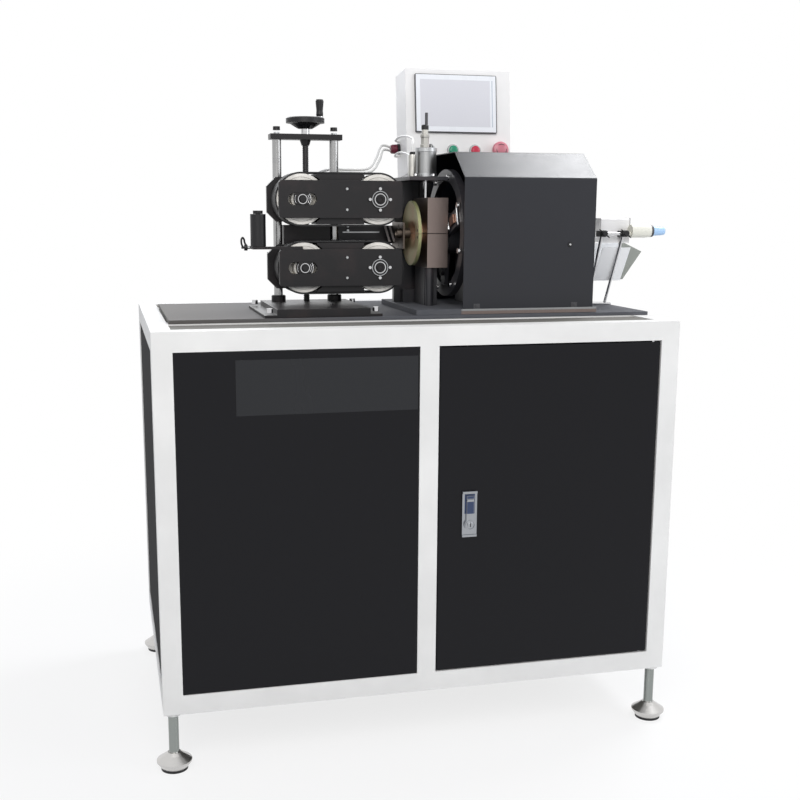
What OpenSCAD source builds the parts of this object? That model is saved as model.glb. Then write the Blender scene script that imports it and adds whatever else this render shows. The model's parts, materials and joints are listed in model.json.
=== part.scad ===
// Rotary cutting machine for soft and corrugated tube, millimetres, +Z up.
// The tube runs along +X: guide roller, belt feeder, clamp dies, ring cutter, chute.
// X is measured from the cabinet's middle and shifted by cab_x, y from the middle
// of the cabinet's depth with the front at -Y, and z from the floor.

/* [Cabinet] */
// Width of the cabinet over its frame tubes
cab_w = 1100; // [1080:10:1240]
// Depth of the cabinet over its frame tubes
cab_d = 700; // [680:10:860]
// Height of the frame's top above the floor
frame_top = 900; // [820:10:980]
// Height of the frame's underside above the floor
leg_h = 124; // [110:2:150]
// Side of the square frame tube
tube = 40; // [38:1:46]
// Wall of the square frame tube
tube_t = 2; // [1.5:0.5:3]
// Thickness of the glossy fixed panels
panel_t = 3; // [2:0.5:5]
// Distance of a panel's face behind the frame's face
panel_inset = 2; // [1:0.5:4]
// Thickness of the folded sheet decks and floor
deck_t = 1.5; // [1:0.25:3]
// Drop of the sheet decks below the frame's top
deck_drop = 3; // [2:0.5:6]

/* [Door] */
// Gap round the door
door_gap = 3; // [2.5:0.5:4]
// Depth of the door's folded edge
door_depth = 18; // [15:1:24]
// Thickness of the door's sheet
door_t = 1.5; // [1:0.25:2.5]
// Distance of the pivot from the door's hinge edge
pivot_inset = 14; // [12:1:18]
// Distance of the pivot behind the door's face
pivot_back = 6; // [5.5:0.25:7]
// Diameter of the pivot pins
pivot_d = 8; // [6:0.5:8]
// Width of the lock's plate
lock_w = 32; // [28:1:40]
// Height of the lock's plate
lock_h = 98; // [90:2:120]
// Distance of the lock's middle from the door's free edge
lock_inset = 66; // [60:1:76]
// Height of the lock's spindle above the floor
lock_z = 485; // [440:5:560]
// Length of the locking cam from the spindle
cam_l = 84; // [80:1:90]

/* [Levelling feet] */
// Diameter of the threaded stud
stud_d = 20; // [16:1:22]
// Diameter of the foot's cup
cup_d = 72; // [60:2:84]
// Height of the cup with its pad
cup_h = 37; // [32:1:44]
// Height of the rubber pad under the cup
pad_h = 6; // [4:1:9]

/* [Machine plate and tube line] */
// Thickness of the machine plate
plate_t = 8; // [6:1:12]
// Distance of the machine plate's front edge behind the cabinet's face
plate_front = 145; // [135:5:150]
// Depth of the machine plate
plate_d = 420; // [410:5:430]
// Height of the tube line above the machine plate
axis_h = 170; // [165:1:180]
// Distance of the tube line in front of the cabinet's middle
axis_front = 50; // [45:1:55]
// Diameter of the passage for the tube
passage_d = 17; // [12:1:20]

/* [Belt feeder] */
// Distance of the leadscrew left of the cabinet's middle
feeder_left = 186; // [180:2:200]
// Distance from the leadscrew to the drive pulleys
drive_off = 144; // [140:1:150]
// Distance between a belt's two pulleys
pulley_pitch = 170; // [166:1:174]
// How far the lower belt's tensioner stands slack
lower_slack = 4; // [0:1:5]
// Height of the slot for the belt's tension block
slot_h = 25; // [22:1:28]
// Radius of the pulleys
pulley_r = 54; // [50:1:56]
// Thickness of the belts
belt_t = 3.2; // [2.5:0.1:4]
// Width of the belts
belt_w = 60; // [50:1:64]
// Open height between the two belts
belt_gap = 31; // [28:1:36]
// Distance between the two guide posts
post_pitch = 128; // [124:1:132]
// Diameter of the guide posts
post_d = 20; // [16:1:22]
// Distance of the posts behind the tube line
post_back = 65; // [64:1:68]
// Height of the posts' tops above the machine plate
post_h = 372; // [368:2:390]
// Diameter of the leadscrew
screw_d = 14; // [12:1:16]
// Height of the front bars
bar_h = 80; // [72:1:84]
// Thickness of the front bars
bar_t = 10; // [8:1:10]
// Height of the back plates
back_h = 96; // [90:1:98]
// Thickness of the back plates
back_t = 12; // [8:1:12]
// Height of the blocks that ride on the posts
block_h = 60; // [50:1:66]
// Depth of the blocks that ride on the posts
block_d = 40; // [36:1:44]
// Thickness of the crossbar on the posts
cross_t = 12; // [10:1:16]
// Outer diameter of the handwheel
wheel_d = 85; // [80:1:100]
// Diameter of the pulley shafts
shaft_d = 16; // [12:1:18]
// Side of the square gearboxes
gear_w = 60; // [54:1:62]
// Length of the feed motors behind their gearboxes
motor_l = 80; // [60:2:86]

/* [Clamp] */
// Width of the clamp dies along the tube
die_w = 47; // [44:1:52]
// Depth of the clamp dies across the tube
die_d = 120; // [100:2:124]
// Height of the upper die
die_up = 77; // [74:1:80]
// Height of the lower die
die_low = 74; // [70:1:78]
// Split between the two dies
die_split = 1; // [0.5:0.5:2]
// Radius of the inlet funnel
funnel_r = 71; // [62:1:71]
// Radius of the funnel's neck
neck_r = 24; // [20:1:28]
// Thickness of the clamp's wall
wall_t = 16; // [12:1:18]
// Thickness of the clamp's top plate
top_t = 8; // [6:1:12]
// Stroke of the clamp
clamp_stroke = 30; // [20:1:32]
// Diameter of the air cylinder
cyl_d = 46; // [40:1:50]
// Height of the air cylinder above the clamp's top plate
cyl_h = 63; // [62:1:80]
// Diameter of the piston rod
rod_d = 12; // [10:1:16]

/* [Ring cutter] */
// Thickness of the cutter's base plate
base_t = 12; // [10:1:15]
// Outer radius of the cutter ring
ring_r = 140; // [120:1:142]
// Radial width of the cutter ring
ring_w = 25; // [18:1:30]
// Thickness of the cutter ring
ring_t = 15; // [12:1:18]
// Radius of the fixed spindle nose
nose_r = 25; // [22:1:28]
// Length of the cover along the tube
cover_l = 300; // [290:5:310]
// Depth of the cover
cover_d = 300; // [296:2:310]
// Height of the cover's upright walls above the cutter base
cover_wall = 277; // [265:1:285]
// Height of the cover's slopes above its upright walls
cover_rise = 56; // [50:1:60]
// Width of each slope seen from above
cover_slope = 76; // [60:2:90]
// Thickness of the cover's sheet
cover_t = 2; // [1.5:0.5:3]

/* [Control box] */
// Width of the control box
box_w = 262; // [250:2:290]
// Height of the control box
box_h = 247; // [242:1:270]
// Depth of the control box
box_d = 90; // [80:2:96]
// Thickness of the control box's sheet
box_t = 1.5; // [1:0.25:2]
// Backward lean of the control box in degrees
box_lean = 6.5; // [4:0.5:8]
// Height of the box's lower edge above the machine plate
box_lift = 307; // [302:1:320]
// Width of the touch panel
hmi_w = 204; // [196:1:210]
// Height of the touch panel
hmi_h = 137; // [130:1:140]
// How far the touch panel stands out
hmi_t = 8; // [5:1:10]
// Height of the row of controls above the box's lower edge
row_z = 56; // [50:1:62]
// Diameter of the push buttons
button_d = 22; // [18:1:24]
// Diameter of the emergency stop's head
estop_d = 40; // [34:1:42]
// Travel of the push buttons
button_travel = 4; // [2:0.5:5]

/* [Inlet guide and outlet] */
// Diameter of the upright guide roller
roller_d = 33; // [28:1:36]
// Length of the upright guide roller
roller_h = 68; // [60:1:74]
// Diameter of the outlet stand's rods
rod_out_d = 7; // [6:0.5:9]
// Height of the outlet stand's clamps above the machine plate
stand_h = 162; // [156:1:166]
// Length of the outlet sensor
sensor_l = 85; // [70:1:100]
// Diameter of the outlet sensor
sensor_d = 30; // [24:1:32]
// Thickness of the outlet sheet parts
sheet_t = 2; // [1.5:0.5:3]

/* [Hidden] */
$fn = 64;

// Running clearance of a shaft in its bore, and gap between pieces that only pass
run = 0.05;
gap = 0.3;
eps = 1;

// Colours as the photograph shows them
white_paint = [0.88, 0.88, 0.86];
black_paint = [0.07, 0.07, 0.09];
black_oxide = [0.1, 0.1, 0.11];
bright_steel = [0.78, 0.79, 0.81];
cream = [0.9, 0.88, 0.82];
grey_deck = [0.45, 0.48, 0.45];
olive_brass = [0.62, 0.58, 0.36];
brushed_aluminium = [0.72, 0.68, 0.65];
rubber_black = [0.04, 0.04, 0.04];

// Cabinet
half_w = cab_w / 2;
half_d = cab_d / 2;
clear_w = half_w - tube;
clear_d = half_d - tube;
rail_low = frame_top - tube;
bay_z0 = leg_h + tube;
bay_h = rail_low - bay_z0;
mullion_w = tube;
panel_fit = 0.25;
end_plate_t = 8;
weld_nut_h = 5;
bearer_y1 = -half_d + plate_front;
bearer_y2 = bearer_y1 + plate_d - tube;
plate_top = frame_top + plate_t;
plate_x0 = -half_w + tube + 2;
plate_x1 = half_w - 2;
plate_y0 = -half_d + plate_front;
plate_y1 = plate_y0 + plate_d;
deck_fold = 20;

// Door, hinged on the right and locked on the left
door_x0 = mullion_w / 2 + door_gap;
door_x1 = clear_w - door_gap;
door_z0 = bay_z0 + door_gap;
door_z1 = rail_low - door_gap;
door_y = -half_d + panel_inset;
pivot_x = door_x1 - pivot_inset;
pivot_y = door_y + pivot_back;
pivot_len = 24;
pivot_boss_h = 10;
lock_x = door_x0 + lock_inset;
lock_plate_t = 4;
spindle_r = 6;
lever_t = 5;
cam_t = 3;
cam_y = -half_d + tube + 1;

// Feet
foot_x = half_w - tube / 2;
foot_y = half_d - tube / 2;

// Tube line and feeder
axis_y = -axis_front;
axis_z = plate_top + axis_h;
feed_x = -feeder_left;
drive_x = feed_x + drive_off;
idler_x = drive_x - pulley_pitch;
belt_in = pulley_r + gap;
belt_out = belt_in + belt_t;
belt_y0 = axis_y - belt_w / 2;
belt_y1 = axis_y + belt_w / 2;
upper_z = axis_z + belt_gap / 2 + belt_out;
lower_z = axis_z - belt_gap / 2 - belt_out;
bar_y0 = belt_y0 - 3 - bar_t;
back_y0 = belt_y1 + 3;
back_y1 = back_y0 + back_t;
post_y = axis_y + post_back;
post_top = plate_top + post_h;
block_y0 = back_y1;
block_x0 = feed_x - post_pitch / 2 - 22;
block_x1 = feed_x + post_pitch / 2 + 22;
bar_over = 51;
bar_x0 = idler_x - bar_over;
bar_x1 = drive_x + bar_over;
back_x0 = idler_x - pulley_r - back_t;
back_x1 = drive_x + pulley_r;
flange_t = 6;
feeder_base_t = 18;
flange_w = 26;
feeder_x0 = block_x0 - flange_w - 14;
feeder_x1 = block_x1 + flange_w + 12;
wheel_z = post_top + cross_t + 12;
slide_down = 25;

// Clamp, just right of the feeder
clamp_x0 = drive_x + belt_out + 4.5;
die_x0 = clamp_x0 + 41;
die_x1 = die_x0 + die_w;
die_y0 = axis_y - die_d / 2;
die_y1 = axis_y + die_d / 2;
die_up_z0 = axis_z + die_split / 2;
die_up_z1 = die_up_z0 + die_up;
die_low_z1 = axis_z - die_split / 2;
die_low_z0 = die_low_z1 - die_low;
guide_w = 15;
guide_t = 12;
wall_y0 = die_y1 + 12;
wall_y1 = wall_y0 + wall_t;
clamp_top = die_up_z1 + clamp_stroke + 7 + top_t;
rod_x = die_x0 + 12;
cyl_wall = 5;
stay_x0 = feed_x + post_pitch / 2;

// Cutter and its cover
ring_x0 = die_x1 + 10;
cover_x0 = die_x1 + 8;
cover_x1 = cover_x0 + cover_l;
cover_y0 = axis_y - cover_d / 2;
cover_y1 = axis_y + cover_d / 2;
base_x0 = clamp_x0 - 8;
base_x1 = cover_x1 + 8;
base_y0 = cover_y0 - 3;
base_y1 = cover_y1 + 10;
base_top = plate_top + base_t;
cover_z1 = base_top + cover_wall;
cover_z2 = cover_z1 + cover_rise;
slide_a = 250;
slide_w = 24;
slide_t = 5;
slide_r0 = nose_r - 3;
slide_l = ring_r - ring_w - slide_r0 - 9;
blade_t = 1.5;
blade_r0 = passage_d / 2 + 1.5;
head_x0 = ring_x0 + ring_t + 37;
head_l = 70;
head_w = 160;
head_h = 240;

// Control box in its own leaning frame
box_x0 = cover_x0 - 32;
box_y0 = plate_y1 - 65;
box_z0 = plate_top + box_lift;
box_leg_w = 60;
hmi_x0 = (box_w - hmi_w) * 0.38;
hmi_z0 = box_h - hmi_h - 13;
estop_x = box_w - 32;
red_x = estop_x - 59;
green_x = red_x - 56;
selector_x = green_x - 59;
bezel_r = button_d / 2 + 3.5;
bezel_h = 3;

// Inlet guide
roller_x = feed_x - 120;
roller_y = axis_y - 8 - roller_d / 2;
arm_t = 6;
arm_w = 30;
arm_l = 78;
arm_z0 = lower_z + bar_h / 2;
roller_z0 = arm_z0 + arm_t + gap;
lever_y = roller_y + 20;

// Outlet
out_front = 45;
out_y = axis_y - out_front;
out_z = plate_top + stand_h;
out_clamp_w = 16;
out_clamp_h = 14;
clamp1_off = 65;
clamp2_off = 118;
clamp1_x = cover_x1 + clamp1_off;
clamp2_x = cover_x1 + clamp2_off;
foot1_off = 108;
foot2_off = 124;
foot1_x = cover_x1 + foot1_off;
foot2_x = cover_x1 + foot2_off;
out_foot_w = 40;
out_foot_t = 5;
out_foot_back = 100;
foot_out_y = out_y + out_foot_back;
sensor_x0 = clamp2_x + out_clamp_w * 1.5;
sensor_x1 = sensor_x0 + sensor_l;
sensor_z = axis_z + 5;
hood_x0 = clamp1_x + out_clamp_w / 4;
hood_l = 72;
hood_up = 34;
hood_back = 30;
hood_gap = 9;
hood_y0 = out_y + out_clamp_w / 2 + hood_gap;
hood_y1 = axis_y + hood_back;
hood_z0 = out_z - out_clamp_h;
hood_z1 = axis_z + hood_up;
chute_x0 = clamp1_x + out_clamp_h;
chute_l = 70;
chute_h = 79;
chute_floor = 42;
chute_slope = 0.633;
chute_z0 = axis_z - 33 - chute_h;
chute_y1 = axis_y + 70;

// Feed motor leads: out of the lower motor, up behind the upper unit, over to the box's side
cable_d = 6;
motor_end = back_y1 + 30 + motor_l;
cable_end = [box_x0, box_y0 + 75, box_z0 + 60];
function cable_points(k) = [
    [drive_x - 10 + 20 * k, motor_end, lower_z],
    [drive_x - 10 + 20 * k, motor_end + 20, lower_z + 3],
    [drive_x - 28 + 8 * k, motor_end + 30, lower_z + 55],
    [drive_x - 88 + 14 * k, motor_end + 30, upper_z - 1],
    [drive_x - 98 + 14 * k, motor_end + 25, upper_z + 54 - 6 * k],
    [drive_x - 68 + 10 * k, motor_end + 25, upper_z + 70 - 7 * k],
    [drive_x - 18, motor_end + 25, upper_z + 70 - 7 * k],
    [drive_x + 28 + 6 * k, motor_end + 35, upper_z + 74 - 7 * k],
    [box_x0 - 72 + 8 * k, box_y0 + 20, cable_end[2] - 25 - 5 * k],
    [box_x0 - 50 + 4 * k, box_y0 + 55, cable_end[2] + 6 - 10 * k],
    [cable_end[0] - 22, cable_end[1], cable_end[2] + 4 - 8 * k]
];

// The whole is centred on its own outline, and the sensor reaches past the feet
reach = max(half_w, foot_x + cup_d / 2);
cab_x = -max(0, sensor_x1 - reach) / 2;

module on_cabinet() {
    translate([cab_x, 0, 0]) children();
}

// A cylinder along +X, and one along +Y
module rod_x(h, r) {
    rotate([0, 90, 0]) cylinder(h = h, r = r);
}

module rod_y(h, r) {
    rotate([-90, 0, 0]) cylinder(h = h, r = r);
}

// Catmull-Rom points through p, n steps to each span
function spline(p, n) = [
    for (i = [0 : len(p) - 2], j = [0 : n - 1])
        let (a = p[max(i - 1, 0)], b = p[i], c = p[i + 1], d = p[min(i + 2, len(p) - 1)], t = j / n)
        (2 * b + (c - a) * t + (2 * a - 5 * b + 4 * c - d) * t * t + (3 * b - a - 3 * c + d) * t * t * t) / 2,
    p[len(p) - 1]
];
function unit(v) = v / norm(v);
function cable_route(k) = spline(cable_points(k), 6);

// A round tube of radius r swept along the points of q
module swept_tube(q, r) {
    sides = 8;
    n = len(q);
    rings = [
        for (i = [0 : n - 1])
            let (
                t = unit(q[min(i + 1, n - 1)] - q[max(i - 1, 0)]),
                side = unit(cross(t, [0.31, 0.17, 0.93])),
                up = cross(t, side)
            )
            for (k = [0 : sides - 1]) q[i] + r * (cos(360 * k / sides) * side + sin(360 * k / sides) * up)
    ];
    faces = [
        [for (k = [0 : sides - 1]) k],
        [for (k = [sides - 1 : -1 : 0]) (n - 1) * sides + k],
        for (i = [0 : n - 2], k = [0 : sides - 1])
            let (j = (k + 1) % sides) [i * sides + k, (i + 1) * sides + k, (i + 1) * sides + j, i * sides + j]
    ];
    polyhedron(rings, faces);
}

module four_corners(x, y) {
    for (sx = [-1, 1], sy = [-1, 1]) translate([sx * x, sy * y, 0]) children();
}

// A straight square tube along +X
module square_tube(l) {
    difference() {
        cube([l, tube, tube]);
        translate([-eps, tube_t, tube_t]) cube([l + 2 * eps, tube - 2 * tube_t, tube - 2 * tube_t]);
    }
}

// A square tube along +X with both ends mitred for a ring, its long side at y = 0
module mitred_tube(l) {
    inner = tube - 2 * tube_t;
    difference() {
        linear_extrude(tube) polygon([[0, 0], [l, 0], [l - tube, tube], [tube, tube]]);
        translate([0, 0, tube_t]) linear_extrude(inner) polygon([
            [tube_t - eps, tube_t],
            [l - tube_t + eps, tube_t],
            [l - tube + tube_t + eps, tube - tube_t],
            [tube - tube_t - eps, tube - tube_t]
        ]);
    }
}

// Welded frame: mitred top ring, bottom rails, posts, middle posts and bearers
module frame() {
    on_cabinet() color(white_paint) difference() {
        union() {
            four_corners(foot_x, foot_y) corner_post();
            for (y = [-half_d, half_d - tube])
                translate([mullion_w / 2, y, bay_z0]) rotate([0, -90, 0]) square_tube(bay_h);
            for (side = [0, 180]) {
                rotate([0, 0, side]) translate([-half_w, -half_d, rail_low]) mitred_tube(cab_w);
                rotate([0, 0, side + 90]) translate([-half_d, -half_w, rail_low]) mitred_tube(cab_d);
                rotate([0, 0, side]) translate([-clear_w, -half_d, leg_h]) square_tube(2 * clear_w);
                rotate([0, 0, side + 90]) translate([-clear_d, -half_w, leg_h]) square_tube(2 * clear_d);
            }
            for (y = [bearer_y1, bearer_y2]) translate([-clear_w, y, rail_low]) square_tube(2 * clear_w);
        }
        translate([pivot_x, pivot_y, leg_h + tube - pivot_len / 2 - eps]) pivot_hole();
        translate([pivot_x, pivot_y, rail_low - eps]) pivot_hole();
    }
}

// Hole for a pivot pin through the tube's wall that faces the bay
module pivot_hole() {
    cylinder(h = pivot_len / 2 + 2 * eps, d = pivot_d + 2 * run);
}

// Post with the threaded plate and weld nut for its foot
module corner_post() {
    difference() {
        union() {
            translate([tube / 2, -tube / 2, leg_h]) rotate([0, -90, 0]) square_tube(rail_low - leg_h);
            translate([-tube / 2 + tube_t, -tube / 2 + tube_t, leg_h])
                cube([tube - 2 * tube_t, tube - 2 * tube_t, end_plate_t]);
            translate([0, 0, leg_h - weld_nut_h]) cylinder(h = weld_nut_h + eps, r = stud_d / 2 + 7);
        }
        translate([0, 0, leg_h - weld_nut_h - eps])
            cylinder(h = weld_nut_h + end_plate_t + 2 * eps, d = stud_d + 2 * run);
    }
}

// Fixed panels: one in front at the left, two behind and one on each side
module outer_panels() {
    w = clear_w - mullion_w / 2 - 2 * panel_fit;
    h = bay_h - 2 * panel_fit;
    z = bay_z0 + panel_fit;
    on_cabinet() color(black_paint) {
        translate([-clear_w + panel_fit, -half_d + panel_inset, z]) cube([w, panel_t, h]);
        for (x = [-half_w + panel_inset, half_w - panel_inset - panel_t])
            translate([x, -clear_d + panel_fit, z]) cube([panel_t, 2 * clear_d - 2 * panel_fit, h]);
        for (x = [-clear_w, mullion_w / 2])
            translate([x + panel_fit, half_d - panel_inset - panel_t, z]) cube([w, panel_t, h]);
    }
}

// A sheet folded down all round, with its top at z = 0
module folded_sheet(w, d) {
    difference() {
        translate([0, 0, -deck_fold]) cube([w, d, deck_fold]);
        translate([deck_t, deck_t, -deck_fold - eps])
            cube([w - 2 * deck_t, d - 2 * deck_t, deck_fold + eps - deck_t]);
    }
}

module sheet_decks() {
    deck_z = frame_top - deck_drop;
    on_cabinet() color(grey_deck) {
        translate([-clear_w, -clear_d, deck_z]) folded_sheet(2 * clear_w, bearer_y1 + clear_d);
        translate([-clear_w, bearer_y2 + tube, deck_z]) folded_sheet(2 * clear_w, clear_d - bearer_y2 - tube);
        translate([-clear_w, -clear_d, leg_h + tube_t + deck_fold]) folded_sheet(2 * clear_w, 2 * clear_d);
    }
}

// Mounting plate behind the door with drives, controller and power supply on three rails
module electric_plate() {
    edge_gap = 48;
    d = clear_d;
    h = bay_h - 2 * edge_gap;
    w = clear_w + mullion_w / 2 - 10;
    x0 = -mullion_w / 2 + 5;
    y0 = clear_d - 3;
    z0 = bay_z0 + edge_gap;
    device_x0 = x0 + w * 0.15;
    rail_y = y0 - 8;
    on_cabinet() color([0.75, 0.76, 0.78]) {
        translate([x0, y0, z0]) cube([w, 3, h]);
        for (k = [0.217, 0.55, 0.833])
            translate([x0 + w * 0.11, rail_y, z0 + h * k]) cube([w * 0.74, 8, h * 0.058]);
        for (i = [0:2])
            device(device_x0 + i * w * 0.14, rail_y, z0 + h * 0.44, [w * 0.1, d * 0.45, h * 0.275]);
        device(device_x0 + w * 0.46, rail_y, z0 + h * 0.48, [w * 0.2, d * 0.26, h * 0.18]);
        device(device_x0, rail_y, z0 + h * 0.79, [w * 0.315, d * 0.275, h * 0.16]);
        device(device_x0 + w * 0.39, rail_y, z0 + h * 0.78, [w * 0.185, d * 0.355, h * 0.18]);
        for (i = [0:5])
            device(device_x0 + i * w * 0.083, rail_y, z0 + h * 0.18, [w * 0.067, d * 0.21, h * 0.13]);
    }
}

// A device of the given size that stands forward from its rail
module device(x, y, z, size) {
    translate([x, y - size[1], z]) cube(size);
}

module base_plate() {
    on_cabinet() color(bright_steel)
        translate([plate_x0, plate_y0, frame_top]) cube([plate_x1 - plate_x0, plate_d, plate_t]);
}

module foot_studs() {
    r = cup_d / 2;
    rs = stud_d / 2;
    on_cabinet() color(bright_steel) four_corners(foot_x, foot_y) {
        rotate_extrude() polygon([
            [0, pad_h], [r * 0.78, pad_h], [r, cup_h * 0.45], [r, cup_h * 0.55],
            [rs + 9, cup_h - 5], [rs + 3, cup_h], [0, cup_h]
        ]);
        translate([0, 0, cup_h]) cylinder(h = leg_h + end_plate_t + 40 - cup_h, r = rs);
    }
}

module foot_pads() {
    on_cabinet() color(rubber_black) four_corners(foot_x, foot_y) cylinder(h = pad_h, r = cup_d * 0.38);
}

module hinge_pins() {
    on_cabinet() color(bright_steel) for (z = [bay_z0, rail_low])
        translate([pivot_x, pivot_y, z - pivot_len / 2]) cylinder(h = pivot_len, d = pivot_d);
}

module door_panel() {
    w = door_x1 - door_x0;
    h = door_z1 - door_z0;
    boss_r = pivot_back - 0.5;
    on_cabinet() color(black_paint) difference() {
        union() {
            difference() {
                translate([door_x0, door_y, door_z0]) cube([w, door_depth, h]);
                translate([door_x0 + door_t, door_y + door_t, door_z0 + door_t])
                    cube([w - 2 * door_t, door_depth, h - 2 * door_t]);
            }
            for (z = [door_z0, door_z1 - pivot_boss_h])
                translate([pivot_x, pivot_y, z]) cylinder(h = pivot_boss_h, r = boss_r);
        }
        translate([pivot_x, pivot_y, door_z0 - eps]) cylinder(h = h + 2 * eps, d = pivot_d + 2 * run);
        translate([lock_x - lock_w / 2 + 4, door_y - eps, lock_z - 20])
            cube([lock_w - 8, door_t + 2 * eps, lock_h - 14]);
    }
}

module lock_body() {
    z0 = lock_z - 27;
    on_cabinet() color(bright_steel) difference() {
        union() {
            translate([lock_x - lock_w / 2, door_y - lock_plate_t, z0]) cube([lock_w, lock_plate_t, lock_h]);
            translate([lock_x - lock_w / 2 + 4, door_y, lock_z - 20])
                cube([lock_w - 8, door_depth, lock_h - 14]);
        }
        translate([lock_x, door_y - lock_plate_t - eps, lock_z])
            rod_y(lock_plate_t + door_depth + 2 * eps, spindle_r + run);
    }
}

module lock_handle() {
    front = door_y - lock_plate_t - gap;
    on_cabinet() color(bright_steel) {
        translate([lock_x, front - lever_t, lock_z]) rod_y(lever_t, 12);
        translate([lock_x - 8, front - lever_t, lock_z]) cube([16, lever_t, 62]);
        translate([lock_x, front, lock_z]) rod_y(cam_y + cam_t - front, spindle_r);
        translate([lock_x - 9, cam_y, lock_z]) cube([18, cam_t, cam_l]);
    }
}

module feeder_base() {
    w = feeder_x1 - feeder_x0;
    on_cabinet() color(black_oxide) difference() {
        translate([feeder_x0, base_y0, plate_top]) {
            cube([w, post_y + post_back - 20 - base_y0, flange_t]);
            translate([flange_w, 0, 0])
                cube([w - 2 * flange_w, post_y + post_back - 25 - base_y0, feeder_base_t]);
        }
        for (sx = [-1, 1]) translate([feed_x + sx * post_pitch / 2, post_y, plate_top + flange_t])
            cylinder(h = feeder_base_t, d = post_d + 2 * run);
        translate([feed_x, post_y, plate_top + flange_t]) cylinder(h = feeder_base_t, d = screw_d + 2 * run);
    }
}

module guide_posts() {
    on_cabinet() color(bright_steel) for (sx = [-1, 1])
        translate([feed_x + sx * post_pitch / 2, post_y, plate_top + flange_t]) difference() {
            cylinder(h = post_h - flange_t, d = post_d);
            translate([0, 0, post_h - flange_t - 25]) cylinder(h = 25 + eps, d = 10 + 2 * run);
        }
}

module crossbar() {
    over = 16;
    d = 36;
    boss_h = 12;
    w = post_pitch + 2 * over;
    on_cabinet() color(black_oxide) translate([feed_x, post_y, post_top]) difference() {
        union() {
            translate([-w / 2, -d / 2, 0]) cube([w, d, cross_t]);
            translate([0, 0, -boss_h]) cylinder(h = boss_h, r1 = screw_d / 2 + 1.5, r2 = screw_d / 2 + 5.5);
        }
        translate([0, 0, -boss_h - eps]) cylinder(h = cross_t + boss_h + 2 * eps, d = screw_d + 2 * run);
        for (sx = [-1, 1]) translate([sx * post_pitch / 2, 0, -eps])
            cylinder(h = cross_t + 2 * eps, d = 10 + 2 * run);
    }
}

module cap_screws() {
    on_cabinet() color(black_oxide) {
        for (sx = [-1, 1]) translate([feed_x + sx * post_pitch / 2, post_y, post_top + cross_t]) {
            translate([0, 0, -cross_t - 20]) cylinder(h = cross_t + 20, d = 10);
            cylinder(h = 4, r = 5.5);
            translate([0, 0, 4]) cylinder(h = 8, r = 8);
        }
        for (x = [feeder_x0 + 12, feeder_x1 - 12], y = [base_y0 + 14, post_y + 30])
            translate([x, y, plate_top + flange_t]) cylinder(h = 10, r = 7);
    }
}

module leadscrew() {
    on_cabinet() color(black_oxide) translate([feed_x, post_y, plate_top + flange_t])
        cylinder(h = wheel_z + 20 - plate_top - flange_t, d = screw_d);
}

module handwheel() {
    r = wheel_d / 2;
    on_cabinet() color(black_oxide) translate([feed_x, post_y, wheel_z]) difference() {
        union() {
            rotate_extrude() polygon([
                [0, 0], [16, 0], [r - 8, 11], [r, 12], [r, 22], [r - 3, 24],
                [r - 8, 24], [r - 10, 18], [16, 14], [14, 24], [0, 24]
            ]);
            translate([r - 10, 0, 14]) cylinder(h = 13, r = 6);
            translate([r - 10, 0, 27]) cylinder(h = 34, r = 4);
        }
        translate([0, 0, -eps]) cylinder(h = 20 + eps, d = screw_d);
        for (a = [60, 180, 300]) rotate([0, 0, a]) translate([24, 0, -eps]) cylinder(h = 26, r = 6.5);
    }
}

module crank_grip() {
    on_cabinet() color(rubber_black) translate([feed_x + wheel_d / 2 - 10, post_y, wheel_z + 27 + gap])
        rotate_extrude() polygon([
            [4 + run, 0], [7, 0], [8, 4], [7.2, 12], [9, 32], [7.5, 36], [0, 36], [0, 34.4], [4 + run, 34.4]
        ]);
}

// Block on the posts, bored for them and for the leadscrew, with a stop of height stop_h on it
module riding_block(z, screw_r, stop_h) {
    stop_w = post_pitch - post_d - 4;
    translate([0, 0, z - block_h / 2]) difference() {
        union() {
            translate([block_x0, block_y0, 0]) cube([block_x1 - block_x0, block_d, block_h]);
            if (stop_h > 0) translate([feed_x - stop_w / 2, post_y - 15, block_h - eps])
                cube([stop_w, 30, stop_h + eps]);
        }
        for (sx = [-1, 1]) translate([feed_x + sx * post_pitch / 2, post_y, -eps])
            cylinder(h = block_h + 2 * eps, d = post_d + 2 * run);
        translate([feed_x, post_y, -eps]) cylinder(h = block_h + stop_h + 2 * eps, r = screw_r);
    }
}

module upper_carriage() {
    on_cabinet() color(black_oxide) riding_block(upper_z, screw_d / 2 + run, 0);
}

// The lower block is fixed and carries the stop for the upper one's lowest place
module lower_block() {
    on_cabinet() color(black_oxide)
        riding_block(lower_z, screw_d / 2 + 2, upper_z - lower_z - block_h - slide_down - 0.5);
}

// Chamfered plate behind the belt, with the support between the pulleys that carries the front bar
module back_plate(z, slack) {
    c = 20;
    x0 = back_x0;
    x1 = back_x1;
    h = back_h / 2;
    translate([0, back_y1, z]) rotate([90, 0, 0]) difference() {
        linear_extrude(back_t) polygon([
            [x0 + c, -h], [x1 - c, -h], [x1, -h + c], [x1, h - c],
            [x1 - c, h], [x0 + c, h], [x0, h - c], [x0, -h + c]
        ]);
        translate([drive_x, 0, -eps]) cylinder(h = back_t + 2 * eps, d = shaft_d + 2);
    }
    belt_support(z, slack);
}

// Block that keeps both runs of a belt straight, hollowed at its ends for the pulleys
module belt_support(z, slack) {
    r = belt_in - 1;
    y0 = bar_y0 + bar_t;
    end_off = pulley_r * 0.6;
    difference() {
        translate([idler_x + end_off, y0, z - r]) cube([pulley_pitch - 2 * end_off, back_y0 - y0, 2 * r]);
        for (x = [idler_x + slack, drive_x])
            translate([x, y0 - eps, z]) rod_y(back_y0 - y0 + 2 * eps, pulley_r + 3);
    }
}

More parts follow.
